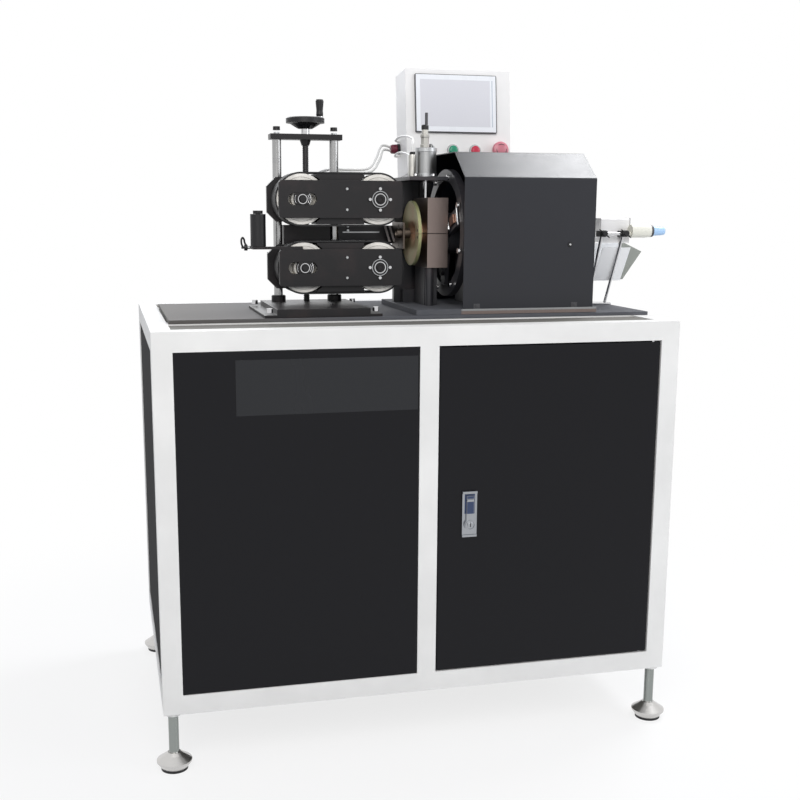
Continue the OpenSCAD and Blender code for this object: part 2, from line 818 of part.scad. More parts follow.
// Bar in front of the belt, with a bearing seat at the drive end and a tension slot
module front_bar(z, slack) {
    slot_l = 62;
    block_r = 18.5;
    translate([0, bar_y0, z]) {
        difference() {
            union() {
                rounded_bar();
                translate([drive_x, -3, 0]) rod_y(3 + eps, 18);
            }
            translate([drive_x, -4, 0]) rod_y(bar_t + 4 + eps, shaft_d / 2 + run);
            for (dx = [-1, 1]) translate([idler_x + dx * (slot_l - slot_h) / 2, -eps, 0])
                rod_y(bar_t + 2 * eps, slot_h / 2);
            translate([idler_x - (slot_l - slot_h) / 2, -eps, -slot_h / 2])
                cube([slot_l - slot_h, bar_t + 2 * eps, slot_h]);
        }
        translate([idler_x + slack, -1, 0]) {
            intersection() {
                rod_y(bar_t + 1, block_r);
                translate([-block_r, -eps, -slot_h / 2 + run])
                    cube([2 * block_r, bar_t + 3, slot_h - 2 * run]);
            }
            translate([0, bar_t, 0]) rod_y(back_y0 - bar_y0 - bar_t, shaft_d / 2);
        }
    }
}

// The bar's plate with rounded corners
module rounded_bar() {
    c = 8;
    w = bar_x1 - bar_x0;
    translate([bar_x0 + c, 0, -bar_h / 2]) cube([w - 2 * c, bar_t, bar_h]);
    translate([bar_x0, 0, -bar_h / 2 + c]) cube([w, bar_t, bar_h - 2 * c]);
    for (x = [bar_x0 + c, bar_x1 - c], sz = [-1, 1]) translate([x, 0, sz * (bar_h / 2 - c)]) rod_y(bar_t, c);
}

// Closed belt round two pulleys, slack shifts the idler
module belt(z, slack) {
    translate([0, belt_y0, z]) difference() {
        belt_outline(belt_out, 0, slack);
        belt_outline(belt_in, eps, slack);
    }
}

module belt_outline(r, over, slack) {
    x0 = idler_x + slack;
    for (x = [x0, drive_x]) translate([x, -over, 0]) rod_y(belt_w + 2 * over, r);
    translate([x0, -over, -r]) cube([drive_x - x0, belt_w + 2 * over, 2 * r]);
}

// Pulley with recessed faces: rim, web and hub in one profile
module pulley(x, z, bore_r) {
    w = belt_w;
    translate([x, belt_y1, z]) rotate([90, 0, 0]) rotate_extrude() polygon([
        [bore_r, 0], [22, 0], [24, 18], [pulley_r - 20, 18], [pulley_r - 18, 0], [pulley_r - 1, 0],
        [pulley_r, 1], [pulley_r, w - 1], [pulley_r - 1, w], [pulley_r - 18, w],
        [pulley_r - 20, w - 18], [24, w - 18], [22, w], [bore_r, w]
    ]);
}

module drive_pulley(z) {
    shaft_end = back_y1 + 20;
    pulley(drive_x, z, 0);
    translate([drive_x, bar_y0 - 2, z]) rod_y(belt_y0 + 2 - bar_y0 + eps, shaft_d / 2);
    translate([drive_x, belt_y1 - eps, z]) rod_y(shaft_end - belt_y1 + eps, shaft_d / 2);
}

// Gearbox and motor behind the drive pulley
module feed_motor(z) {
    difference() {
        union() {
            translate([drive_x - gear_w / 2, back_y1, z - gear_w / 2]) cube([gear_w, 30, gear_w]);
            translate([drive_x, back_y1 + 30, z]) rod_y(motor_l, gear_w / 2 - 4);
        }
        translate([drive_x, back_y1 - eps, z]) rod_y(20 + 2 * eps, shaft_d / 2 + run);
    }
}

module upper_back_plate() { on_cabinet() color(black_oxide) back_plate(upper_z, 0); }
module upper_front_bar() { on_cabinet() color(black_oxide) front_bar(upper_z, 0); }
module upper_belt() { on_cabinet() color(rubber_black) belt(upper_z, 0); }
module upper_drive_pulley() { on_cabinet() color(cream) drive_pulley(upper_z); }
module upper_idler_pulley() { on_cabinet() color(cream) pulley(idler_x, upper_z, shaft_d / 2 + run); }
module upper_motor() { on_cabinet() color(black_oxide) feed_motor(upper_z); }
module lower_back_plate() { on_cabinet() color(black_oxide) back_plate(lower_z, lower_slack); }
module lower_front_bar() { on_cabinet() color(black_oxide) front_bar(lower_z, lower_slack); }
module lower_belt() { on_cabinet() color(rubber_black) belt(lower_z, lower_slack); }
module lower_drive_pulley() { on_cabinet() color(cream) drive_pulley(lower_z); }
module lower_idler_pulley() {
    on_cabinet() color(cream) pulley(idler_x + lower_slack, lower_z, shaft_d / 2 + run);
}
module lower_motor() { on_cabinet() color(black_oxide) feed_motor(lower_z); }

// Arm on the lower front bar that carries the upright roller
module guide_bracket() {
    arm_top = arm_z0 + arm_t;
    on_cabinet() color(black_oxide) {
        translate([roller_x, bar_y0, arm_z0]) cube([idler_x - roller_x, bar_t, arm_t]);
        translate([roller_x - arm_w / 2 + 1, bar_y0, arm_z0]) cube([arm_w, arm_l, arm_t]);
        translate([roller_x, roller_y, arm_top - eps]) cylinder(h = roller_h + 2 * gap + eps, r = 5);
        translate([roller_x, roller_y, arm_top + roller_h + 2 * gap]) cylinder(h = 7, r = 10.5);
        translate([roller_x + 8, bar_y0 + arm_l - 10, arm_top - eps])
            cylinder(h = roller_h * 0.66 + eps, r = 4);
        translate([roller_x - 34, lever_y, arm_z0 + arm_t / 2]) rod_x(20 + eps, 2.5);
    }
}

module guide_roller() {
    on_cabinet() color(rubber_black) translate([roller_x, roller_y, roller_z0]) difference() {
        cylinder(h = roller_h, d = roller_d);
        translate([0, 0, -eps]) cylinder(h = roller_h + 2 * eps, r = 5 + run);
    }
}

module guide_lever() {
    on_cabinet() color(rubber_black) translate([roller_x - 36, lever_y, arm_z0 + arm_t / 2]) difference() {
        union() {
            rod_x(14, 7);
            translate([0, -6, 0]) cube([12, 12, 24]);
        }
        translate([2 - gap, 0, 0]) rod_x(14, 2.5 + run);
    }
}

// Nozzle on the clamp's wall that leads the tube to the funnel
module infeed_nozzle() {
    x1 = clamp_x0;
    on_cabinet() color(bright_steel) difference() {
        union() {
            translate([x1 - 4, axis_y - 22, axis_z - 34]) cube([4, wall_y0 + 5 - axis_y + 22, 58]);
            translate([x1 - 14, axis_y, axis_z]) rod_x(30, passage_d / 2 + 3);
        }
        translate([x1 - 25, axis_y, axis_z]) rod_x(60, passage_d / 2);
        translate([x1 - 14 - eps, axis_y, axis_z]) rotate([0, 90, 0])
            cylinder(h = 8, r1 = passage_d / 2 + 2.5, r2 = passage_d / 2);
        for (dz = [-26, 16], dy = [-14, 16]) translate([x1 - 5, axis_y + dy, axis_z + dz]) rod_x(6, 3);
    }
}

// C-frame: wall behind the dies, plate above, pedestal below, the die's rail and a stay to the feeder
module clamp_frame() {
    mid = (die_x0 + die_x1) / 2;
    top_x1 = die_x1 - 2;
    on_cabinet() color(black_oxide) {
        translate([clamp_x0, wall_y0, base_top])
            cube([top_x1 - clamp_x0, wall_t, clamp_top - top_t - base_top]);
        difference() {
            translate([clamp_x0, die_y0, clamp_top - top_t])
                cube([top_x1 - clamp_x0, wall_y1 - die_y0, top_t]);
            translate([rod_x, axis_y, clamp_top - top_t - eps])
                cylinder(h = top_t + 2 * eps, d = rod_d + 2 * run);
        }
        translate([mid - guide_w / 2, wall_y0 - guide_t + 2, die_up_z0])
            cube([guide_w, guide_t - 2, clamp_top - top_t - die_up_z0]);
        translate([die_x0, die_y0 + 20, base_top]) cube([29, die_d - 40, die_low_z0 - base_top]);
        translate([die_x0 + 9, die_y0 + 12, base_top]) cylinder(h = die_low_z0 - base_top, r = 9);
        translate([die_x0 - 25, die_y1 - 10, base_top]) cube([die_w + 10, wall_y0 - die_y1 + 10, 30]);
        translate([stay_x0, wall_y0 + 6, axis_z - 25]) cube([clamp_x0 - stay_x0 + eps, 8, 41]);
    }
}

// Half-round groove for the tube along a die or funnel
module passage(x0, x1) {
    translate([x0 - eps, axis_y, axis_z]) rod_x(x1 - x0 + 2 * eps, passage_d / 2);
}

module lower_die() {
    on_cabinet() color(brushed_aluminium) difference() {
        translate([die_x0, die_y0, die_low_z0]) cube([die_w, die_d, die_low]);
        passage(die_x0, die_x1);
    }
}

module upper_die() {
    mid = (die_x0 + die_x1) / 2;
    w = guide_w + 2 * gap;
    on_cabinet() color(brushed_aluminium) difference() {
        union() {
            translate([die_x0, die_y0, die_up_z0]) cube([die_w, die_d, die_up]);
            translate([die_x0 + 2, die_y1, die_up_z0 + 8]) cube([die_w - 4, 10, die_up - 16]);
        }
        translate([mid - w / 2, wall_y0 - guide_t + 2 - gap, die_up_z0 - eps])
            cube([w, guide_t, die_up + 2 * eps]);
        passage(die_x0, die_x1);
    }
}

// Dished disc with a neck, turned about the tube line
module funnel() {
    r0 = passage_d / 2;
    l = die_x0 - clamp_x0 - 18;
    difference() {
        translate([clamp_x0 + 18, axis_y, axis_z]) rotate([0, 90, 0]) rotate_extrude() polygon([
            [r0, l], [neck_r, l], [neck_r, 7], [funnel_r, 7], [funnel_r, 0], [funnel_r - 7, 0],
            [funnel_r * 0.62, 3.4], [funnel_r * 0.4, 4.6], [neck_r * 0.8, 6.5], [r0 + 2, l * 0.6], [r0, l - 4]
        ]);
        for (sz = [-1, 1]) translate([clamp_x0 + 18 - eps, axis_y - funnel_r + 10, axis_z + sz * 7.5])
            rod_x(9 + eps, 2.5);
    }
}

module half_space(z, up) {
    side = 3 * funnel_r;
    translate([clamp_x0, axis_y - side / 2, up ? z : z - side]) cube(side);
}

module lower_funnel() {
    on_cabinet() color(olive_brass) intersection() {
        funnel();
        half_space(die_low_z1, false);
    }
}

module upper_funnel() {
    on_cabinet() color(olive_brass) intersection() {
        funnel();
        half_space(die_up_z0, true);
    }
}

module piston_rod() {
    on_cabinet() color(bright_steel) translate([rod_x, axis_y, 0]) {
        translate([0, 0, die_up_z1]) cylinder(h = clamp_top + 8 - die_up_z1, d = rod_d);
        translate([0, 0, clamp_top + 8]) cylinder(h = 10, r = cyl_d / 2 - cyl_wall - run);
    }
}

module air_cylinder() {
    on_cabinet() color(bright_steel) translate([rod_x, axis_y, clamp_top]) difference() {
        cylinder(h = cyl_h, d = cyl_d);
        translate([0, 0, 6]) cylinder(h = cyl_h - 12, r = cyl_d / 2 - cyl_wall);
        translate([0, 0, -eps]) cylinder(h = 8, d = rod_d + 2 * run);
    }
}

// Flow valve with its push-in fitting on the cylinder, and the capped post beside it
module air_fittings() {
    x = rod_x - 15;
    on_cabinet() color([0.6, 0.6, 0.6]) {
        translate([x, axis_y, clamp_top + cyl_h]) {
            cylinder(h = 30, r = 10.5);
            translate([0, 0, 30]) cylinder(h = 19, r = 8);
            translate([3, 0, 49]) cylinder(h = 27, r = 6);
        }
        translate([x - 19, axis_y - 10, clamp_top]) {
            cylinder(h = 48, r = 8.5);
            translate([0, 0, 48]) cylinder(h = 6, r = 6);
        }
    }
}

module cutter_base() {
    on_cabinet() color(bright_steel) translate([base_x0, base_y0, plate_top])
        cube([base_x1 - base_x0, base_y1 - base_y0, base_t]);
}

// Drive head with the fixed hollow spindle that the ring runs on
module spindle_housing() {
    on_cabinet() color(black_oxide) difference() {
        union() {
            translate([head_x0, axis_y - head_w / 2, base_top]) cube([head_l, head_w, head_h]);
            translate([ring_x0 + 2, axis_y, axis_z]) rod_x(head_x0 - ring_x0 - 2 + eps, nose_r);
            translate([head_x0 - 12, axis_y, axis_z]) rod_x(13, 55);
            translate([head_x0 + head_l - eps, axis_y, axis_z])
                rod_x(cover_x1 - cover_t - gap - head_x0 - head_l + eps, passage_d / 2 + 4);
        }
        translate([ring_x0, axis_y, axis_z]) rod_x(cover_x1 - ring_x0 + eps, passage_d / 2);
    }
}

// The ring's own frame: local z along the tube, and the slide's direction along local x
module in_ring(a) {
    translate([ring_x0, axis_y, axis_z]) rotate([0, 90, 0]) rotate([0, 0, a]) children();
}

// Section of the blade slide, wider at the ring's side so that the rails hold it
module slide_section(grow) {
    w = slide_w / 2 + grow;
    v0 = -gap - slide_t - grow;
    polygon([[-w, -gap + grow], [w, -gap + grow], [w - 2, v0], [2 - w, v0]]);
}

// Ring with three spokes, hub, two counterweights and the rails for the blade slide
module cutter_ring() {
    hub_r = nose_r + 20;
    spoke_l = ring_r - ring_w - nose_r;
    rail_w = slide_w + 14;
    on_cabinet() color(black_oxide) difference() {
        union() {
            in_ring(0) difference() {
                cylinder(h = ring_t, r = ring_r);
                translate([0, 0, -eps]) cylinder(h = ring_t + 2 * eps, r = ring_r - ring_w);
            }
            in_ring(0) cylinder(h = ring_t + 10, r = hub_r);
            for (a = [0, 120, 240]) in_ring(slide_a + a)
                translate([nose_r + 4, -14, 3]) cube([spoke_l, 28, ring_t - 6]);
            for (a = [120, 240]) in_ring(slide_a + a) translate([85, 0, -4]) cylinder(h = 9, r = 12);
            in_ring(slide_a) rotate([90, 0, 90]) translate([0, 0, slide_r0])
                linear_extrude(slide_l - 6) difference() {
                    translate([-rail_w / 2, -slide_t - gap]) square([rail_w, slide_t + gap + 4]);
                    slide_section(gap);
                }
        }
        in_ring(0) translate([0, 0, 2 - run]) cylinder(h = ring_t + 20, r = nose_r + run);
        in_ring(0) translate([0, 0, -eps]) cylinder(h = ring_t, r = passage_d / 2 + 3);
    }
}

// Blade on the slide that feeds it in towards the tube
module blade_slide() {
    on_cabinet() color(bright_steel) in_ring(slide_a) {
        rotate([90, 0, 90]) translate([0, 0, slide_r0]) linear_extrude(slide_l) slide_section(0);
        translate([0, 0, -gap - slide_t - blade_t]) linear_extrude(blade_t) polygon([
            [blade_r0, -2], [blade_r0 + 3, -8], [blade_r0 + 40, -8],
            [blade_r0 + 40, 8], [blade_r0 + 3, 8], [blade_r0, 2]
        ]);
    }
}

// Gearbox on the drive head, with its motor and terminal box behind
module cutter_motor() {
    side = head_l;
    l = side * 1.7;
    r = side / 2 + 1;
    on_cabinet() color(black_oxide) translate([head_x0 + head_l, axis_y + head_w / 2 + 10, base_top + side]) {
        translate([0, -side / 2, -side / 2]) cube([20, side, side]);
        translate([20, 0, 0]) rod_x(l, r);
        translate([30, -r + 6, -side]) cube([l - 30, 2 * r - 12, side - r + 8]);
    }
}

// Folded cover with sloping shoulders, open at its left end
module cover() {
    on_cabinet() color(black_paint) difference() {
        translate([cover_x0, 0, 0]) cover_block(cover_l, 0);
        translate([cover_x0 - eps, 0, 0]) cover_block(cover_l + eps - cover_t, cover_t);
        translate([cover_x1 - cover_t - eps, axis_y, axis_z]) rod_x(cover_t + 2 * eps, passage_d / 2 + 8);
    }
}

module cover_block(l, inset) {
    y0 = cover_y0 + inset;
    y1 = cover_y1 - inset;
    s = cover_slope + inset * 0.35;
    z0 = base_top - (inset > 0 ? eps : 0);
    rotate([90, 0, 90]) linear_extrude(l) polygon([
        [y0, z0], [y0, cover_z1 - inset * 0.3], [y0 + s - inset, cover_z2 - inset],
        [y1 - s + inset, cover_z2 - inset], [y1, cover_z1 - inset * 0.3], [y1, z0]
    ]);
}

// Moves to the control box's leaning frame, with y = 0 at its front face
module in_box() {
    translate([box_x0, box_y0, box_z0]) rotate([-box_lean, 0, 0]) children();
}

module control_box() {
    on_cabinet() color(white_paint) {
        in_box() difference() {
            union() {
                cube([box_w, box_d, box_h]);
                for (x = [selector_x, green_x, red_x, estop_x])
                    translate([x, -bezel_h, row_z]) rod_y(bezel_h + eps, bezel_r);
            }
            translate([box_t, box_t, box_t]) cube([box_w - 2 * box_t, box_d - 2 * box_t, box_h - 2 * box_t]);
            for (x = [selector_x, green_x, red_x, estop_x])
                translate([x, -bezel_h - eps, row_z]) rod_y(bezel_h + box_t + 2 * eps, button_d / 2 + run);
        }
        difference() {
            for (x = [box_x0 + 40, box_x0 + box_w - 40 - box_leg_w])
                translate([x, box_y0 + 20, plate_top]) cube([box_leg_w, tube, box_lift]);
            in_box() translate([-eps, -box_d, box_t / 2]) cube([box_w + 2 * eps, 3 * box_d, box_d]);
        }
    }
}

module touch_panel() {
    on_cabinet() color([0.8, 0.82, 0.86]) in_box()
        translate([hmi_x0, -hmi_t, hmi_z0]) cube([hmi_w, hmi_t, hmi_h]);
}

// A control's moving part: its stem in the box and its head outside
module plunger(x, head_r, head_h, lift) {
    in_box() translate([x, 0, row_z]) {
        translate([0, -bezel_h - lift, 0]) rod_y(bezel_h + lift + 12, button_d / 2);
        translate([0, -bezel_h - lift - head_h, 0]) rod_y(head_h, head_r);
    }
}

module selector() {
    on_cabinet() color(rubber_black) {
        plunger(selector_x, button_d / 2, 4, gap);
        in_box() translate([selector_x - 4, -bezel_h - gap - 14, row_z - 11]) cube([8, 10, 22]);
    }
}

module green_button() {
    on_cabinet() color([0.05, 0.5, 0.35]) plunger(green_x, button_d / 2 - 1, 3, button_travel);
}
module red_button() {
    on_cabinet() color([0.8, 0.1, 0.2]) plunger(red_x, button_d / 2 - 1, 3, button_travel);
}
module estop_button() {
    on_cabinet() color([0.85, 0.1, 0.1]) plunger(estop_x, estop_d / 2, 14, button_travel + 6);
}

// A straight round bar between two points
module bar_between(a, b, r) {
    d = b - a;
    l = norm(d);
    translate(a) rotate([0, acos(d[2] / l), atan2(d[1], d[0])]) cylinder(h = l, r = r);
}

module outlet_stand() {
    r = rod_out_d / 2;
    half = out_clamp_w / 2;
    on_cabinet() color(bright_steel) {
        translate([foot1_x - out_foot_w * 0.3, foot_out_y - out_foot_w / 2, plate_top])
            cube([foot2_x - foot1_x + out_foot_w / 2, out_foot_w, out_foot_t]);
        for (p = [[clamp1_x, foot1_x], [clamp2_x, foot2_x]])
            bar_between([p[0], out_y, out_z + 5], [p[1], foot_out_y, plate_top + out_foot_t - 1], r);
        for (x = [clamp1_x, clamp2_x])
            translate([x - half, out_y - half, out_z]) cube([2 * half, hood_y0 - out_y + half, out_clamp_h]);
        translate([clamp1_x, out_y, out_z + out_clamp_h / 2]) rod_x(clamp2_x - clamp1_x, r);
    }
}

// Hood over the tube's way out, and the barrel that stops and senses its end
module outlet_sensor() {
    on_cabinet() color(cream) {
        difference() {
            translate([hood_x0, hood_y0, hood_z0]) cube([hood_l, hood_y1 - hood_y0, hood_z1 - hood_z0]);
            translate([hood_x0 - eps, hood_y0 + sheet_t, hood_z0 - eps])
                cube([hood_l + 2 * eps, hood_y1 - hood_y0 - 2 * sheet_t, hood_z1 - hood_z0 + eps - sheet_t]);
        }
        translate([sensor_x0, out_y + 2, sensor_z]) rod_x(sensor_l, sensor_d / 2);
        translate([clamp2_x + out_clamp_w / 2, out_y, out_z + out_clamp_h / 2])
            rod_x(sensor_x0 - clamp2_x - out_clamp_w / 2 + eps, 5);
    }
}

// Sheet catcher for the cut lengths: sloping front wall, floor and a back wall with a fin
module outlet_chute() {
    fin_z = chute_h * 1.1;
    on_cabinet() color([0.75, 0.76, 0.75]) {
        translate([chute_x0, 0, 0]) rotate([90, 0, 90]) linear_extrude(chute_l) difference() {
            chute_section(0);
            chute_section(sheet_t);
        }
        translate([chute_x0, chute_y1, chute_z0]) rotate([90, 0, 0]) linear_extrude(sheet_t) polygon([
            [0, 0], [chute_l * 1.37, 0], [chute_l * 2.04, chute_h * 0.84], [chute_l * 1.39, fin_z], [0, fin_z]
        ]);
        translate([cover_x1, chute_y1 - chute_floor + 2, chute_z0]) {
            cube([chute_x0 - cover_x1 + eps, chute_floor - 2, sheet_t]);
            cube([sheet_t, chute_floor - 2, 24]);
        }
    }
}

// The catcher's section in y and z, drawn in by the sheet's thickness
module chute_section(inset) {
    z1 = chute_z0 + chute_h + (inset > 0 ? eps : 0);
    y_low = chute_y1 - chute_floor + inset * 1.18;
    polygon([
        [y_low - chute_slope * inset, chute_z0 + inset],
        [y_low - chute_slope * (z1 - chute_z0), z1],
        [chute_y1 - inset, z1],
        [chute_y1 - inset, chute_z0 + inset]
    ]);
}

// Two feed motor leads, held from the lower motor to the control box
module feed_cables() {
    on_cabinet() color([0.92, 0.92, 0.9]) {
        for (k = [0, 1]) swept_tube(cable_route(k), cable_d / 2);
        translate(cable_end + [-22, -9, -11]) cube([22, 18, 22]);
    }
}

frame();
outer_panels();
sheet_decks();
electric_plate();
base_plate();
foot_studs();
foot_pads();
hinge_pins();
door_panel();
lock_body();
lock_handle();
feeder_base();
guide_posts();
crossbar();
cap_screws();
leadscrew();
handwheel();
crank_grip();
upper_carriage();
upper_back_plate();
upper_front_bar();
upper_belt();
upper_drive_pulley();
upper_idler_pulley();
upper_motor();
lower_block();
lower_back_plate();
lower_front_bar();
lower_belt();
lower_drive_pulley();
lower_idler_pulley();
lower_motor();
guide_bracket();
guide_roller();
guide_lever();
infeed_nozzle();
clamp_frame();
lower_die();
lower_funnel();
upper_die();
upper_funnel();
piston_rod();
air_cylinder();
air_fittings();
cutter_base();
spindle_housing();
cutter_ring();
blade_slide();
cutter_motor();
cover();
control_box();
touch_panel();
selector();
green_button();
red_button();
estop_button();
feed_cables();
outlet_stand();
outlet_sensor();
outlet_chute();
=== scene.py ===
"""Rotary tube cutting machine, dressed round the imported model.
Places are in millimetres, x from the cabinet's middle, y from the middle of its depth, z from the floor.
Materials, lamps and shader sizes are in metres."""
import json
import math

import bmesh
import bpy
from mathutils import Matrix, Vector

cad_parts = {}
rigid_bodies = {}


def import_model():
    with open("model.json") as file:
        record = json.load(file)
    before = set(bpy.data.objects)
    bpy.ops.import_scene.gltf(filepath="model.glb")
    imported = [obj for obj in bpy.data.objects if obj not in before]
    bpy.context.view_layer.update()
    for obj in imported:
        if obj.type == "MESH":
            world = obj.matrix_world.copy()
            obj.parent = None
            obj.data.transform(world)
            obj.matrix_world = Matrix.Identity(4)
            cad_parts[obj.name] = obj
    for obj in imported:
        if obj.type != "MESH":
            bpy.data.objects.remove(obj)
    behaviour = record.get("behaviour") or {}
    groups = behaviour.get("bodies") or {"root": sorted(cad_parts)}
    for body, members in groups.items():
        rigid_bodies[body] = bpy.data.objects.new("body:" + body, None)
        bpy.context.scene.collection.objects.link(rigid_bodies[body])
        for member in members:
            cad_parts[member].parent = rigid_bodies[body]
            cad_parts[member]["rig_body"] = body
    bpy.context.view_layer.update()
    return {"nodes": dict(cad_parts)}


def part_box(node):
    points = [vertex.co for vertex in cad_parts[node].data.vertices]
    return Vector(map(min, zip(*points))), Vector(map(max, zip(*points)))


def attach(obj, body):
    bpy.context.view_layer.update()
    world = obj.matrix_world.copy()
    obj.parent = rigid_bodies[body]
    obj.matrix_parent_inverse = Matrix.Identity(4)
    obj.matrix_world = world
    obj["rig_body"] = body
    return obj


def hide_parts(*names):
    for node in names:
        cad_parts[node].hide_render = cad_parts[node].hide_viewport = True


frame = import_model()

MM = 0.001
frame_low, frame_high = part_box("frame")
to_model = Vector(((frame_low.x + frame_high.x) / 2 / MM, 0, 0))


def span(node):
    """Lowest and highest corner of a model node."""
    low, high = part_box(node)
    return low / MM - to_model, high / MM - to_model


def middle(node):
    low, high = span(node)
    return (low + high) / 2


def linked(name, data):
    """A new object of the scene that holds the data."""
    made = bpy.data.objects.new(name, data)
    bpy.context.scene.collection.objects.link(made)
    return made


# Camera, fitted to the photograph
PHOTO = 800
FOCAL = 1123.1
PRINCIPAL = (378.7, 424.0)
YAW, PITCH, ROLL = math.radians(13.684), math.radians(10.725), math.radians(0.193)
EYE = Vector((-630.8, -2506.2, 1125.9))


def set_camera():
    data = bpy.data.cameras.new("camera")
    camera = linked("camera", data)
    forward = Vector((math.sin(YAW) * math.cos(PITCH), math.cos(YAW) * math.cos(PITCH), -math.sin(PITCH)))
    level = Vector((math.cos(YAW), -math.sin(YAW), 0))
    rise = level.cross(forward)
    right = level * math.cos(ROLL) + rise * math.sin(ROLL)
    up = rise * math.cos(ROLL) - level * math.sin(ROLL)
    camera.matrix_world = Matrix.Translation((EYE + to_model) * MM) @ Matrix(
        (right, up, -forward)).transposed().to_4x4()
    data.sensor_width = 36
    data.lens = FOCAL / PHOTO * data.sensor_width
    data.shift_x = 0.5 - PRINCIPAL[0] / PHOTO
    data.shift_y = PRINCIPAL[1] / PHOTO - 0.5
    data.clip_end = 50
    bpy.context.scene.camera = camera


class Wire:
    """An output socket of a node. Python's operators on it add Math nodes."""

    def __init__(self, tree, source, out=0):
        self.tree = tree
        self.source = source
        self.socket = source.outputs[out] if source.outputs else None

    def __getitem__(self, name):
        return Wire(self.tree, self.source, name)

    def math(self, operation, *values):
        return self.tree.node("ShaderNodeMath", {"operation": operation}, dict(enumerate(values)))

    def __add__(self, other):
        return self.math("ADD", self, other)

    def __radd__(self, other):
        return self.math("ADD", other, self)

    def __mul__(self, other):
        return self.math("MULTIPLY", self, other)

    def __rmul__(self, other):
        return self.math("MULTIPLY", other, self)

    def __truediv__(self, other):
        return self.math("DIVIDE", self, other)

    def wave(self):
        """From 0 to 1 and back with each turn of the value."""
        return self.math("SINE", self) * 0.5 + 0.5

    def clamp(self, low, high):
        return self.tree.node("ShaderNodeClamp", {}, {"Value": self, "Min": low, "Max": high})


class Tree:
    """A node tree that is written as expressions."""

    def __init__(self, nodes):
        self.nodes = nodes

    def node(self, kind, settings, sockets):
        made = self.nodes.nodes.new(kind)
        for name, value in settings.items():
            setattr(made, name, value)
        for name, value in sockets.items():
            self.feed(made.inputs[name], value)
        return Wire(self, made)

    def feed(self, socket, value):
        if isinstance(value, Wire):
            self.nodes.links.new(value.socket, socket)
        else:
            socket.default_value = [*value, 1] if socket.type == "RGBA" else value

    def place(self, centre=(0, 0, 0), stretch=(1, 1, 1)):
        """Object coordinates in metres, from a centre in millimetres, stretched along the axes."""
        coordinates = self.node("ShaderNodeTexCoord", {}, {})["Object"]
        offset = Vector([-c * MM * s for c, s in zip(Vector(centre) + to_model, stretch)])
        return self.node("ShaderNodeMapping", {}, {
            "Vector": coordinates, "Location": offset, "Scale": stretch})

    def part(self, axis, centre=(0, 0, 0)):
        """One object coordinate in metres, from a centre in millimetres."""
        return self.node("ShaderNodeSeparateXYZ", {}, {"Vector": self.place(centre)})[axis]

    def distance(self, place):
        return self.node("ShaderNodeVectorMath", {"operation": "LENGTH"}, {0: place})["Value"]

    def noise(self, scale, detail, stretch=(1, 1, 1)):
        return self.node("ShaderNodeTexNoise", {"noise_dimensions": "3D"}, {
            "Vector": self.place(stretch=stretch), "Scale": scale, "Detail": detail, "Roughness": 0.55})

    def vector(self, **parts):
        return self.node("ShaderNodeCombineXYZ", {}, parts)

    def ramp(self, value, low, high):
        return self.node("ShaderNodeMapRange", {"interpolation_type": "SMOOTHSTEP"}, {
            "Value": value, "From Min": low, "From Max": high})

    def blend(self, factor, first, second):
        made = self.node("ShaderNodeMix", {"data_type": "RGBA"}, {"Factor": factor})
        inputs = [socket for socket in made.source.inputs if socket.type == "RGBA"]
        self.feed(inputs[0], first)
        self.feed(inputs[1], second)
        return Wire(self, made.source, [o.type for o in made.source.outputs].index("RGBA"))

    def bump(self, height, strength, distance):
        return self.node("ShaderNodeBump", {}, {"Height": height, "Strength": strength, "Distance": distance})


def shade(colour, amount):
    """The colour made lighter or darker by a factor."""
    return [min(1, c * amount) for c in colour]


def material(name, pattern, *values, metallic=0.0, specular=0.5):
    """pattern(tree, ...) gives the colour, the roughness and the normal, which change over the surface."""
    made = bpy.data.materials.new(name)
    made.use_nodes = True
    tree = Tree(made.node_tree)
    sockets = made.node_tree.nodes["Principled BSDF"].inputs
    sockets["Metallic"].default_value = metallic
    sockets["Specular IOR Level"].default_value = specular
    for socket, value in zip(("Base Color", "Roughness", "Normal"), pattern(tree, *values)):
        tree.feed(sockets[socket], value)
    return made


def powder_coat(tree, colour, roughness, grain=1.0):
    """Sprayed powder: fine orange peel, faint cloudiness and dulled patches."""
    cloud = tree.ramp(tree.noise(7, 3), 0.3, 0.75)
    return (tree.blend(cloud, shade(colour, 0.95), shade(colour, 1.03)),
            roughness * (0.85 + 0.3 * tree.noise(30, 2)),
            tree.bump(tree.noise(900, 2), 0.12 * grain, 0.0006))


def gloss_sheet(tree, colour, roughness, wave=0.35, side_roughness=0.0):
    """Glossy sheet with slow waves, faint wiping marks and dust. The cabinet's two sides are duller."""
    across = tree.part("X")
    side = tree.ramp(across.math("ABSOLUTE", across), 0.54, 0.543)
    wiping = tree.noise(9, 4, stretch=(1, 1, 0.35))
    dust = tree.ramp(tree.noise(1600, 1), 0.72, 0.8)
    return (tree.blend(dust, shade(colour, 1), shade(colour, 3)),
            roughness * (0.7 + 0.6 * wiping) + side_roughness * side,
            tree.bump(tree.noise(3.2, 1), wave, 0.004))


def brushed_metal(tree, colour, roughness, along, depth=1.0):
    """Fine scratches along one axis."""
    stretch = [0.03 if axis == along else 1 for axis in "XYZ"]
    scratch = tree.noise(1400, 3, stretch=stretch)
    return (tree.blend(scratch, shade(colour, 0.82), shade(colour, 1.12)),
            roughness * (0.75 + 0.35 * scratch + 0.2 * tree.noise(22, 3)),
            tree.bump(scratch, 0.16 * depth, 0.0004))


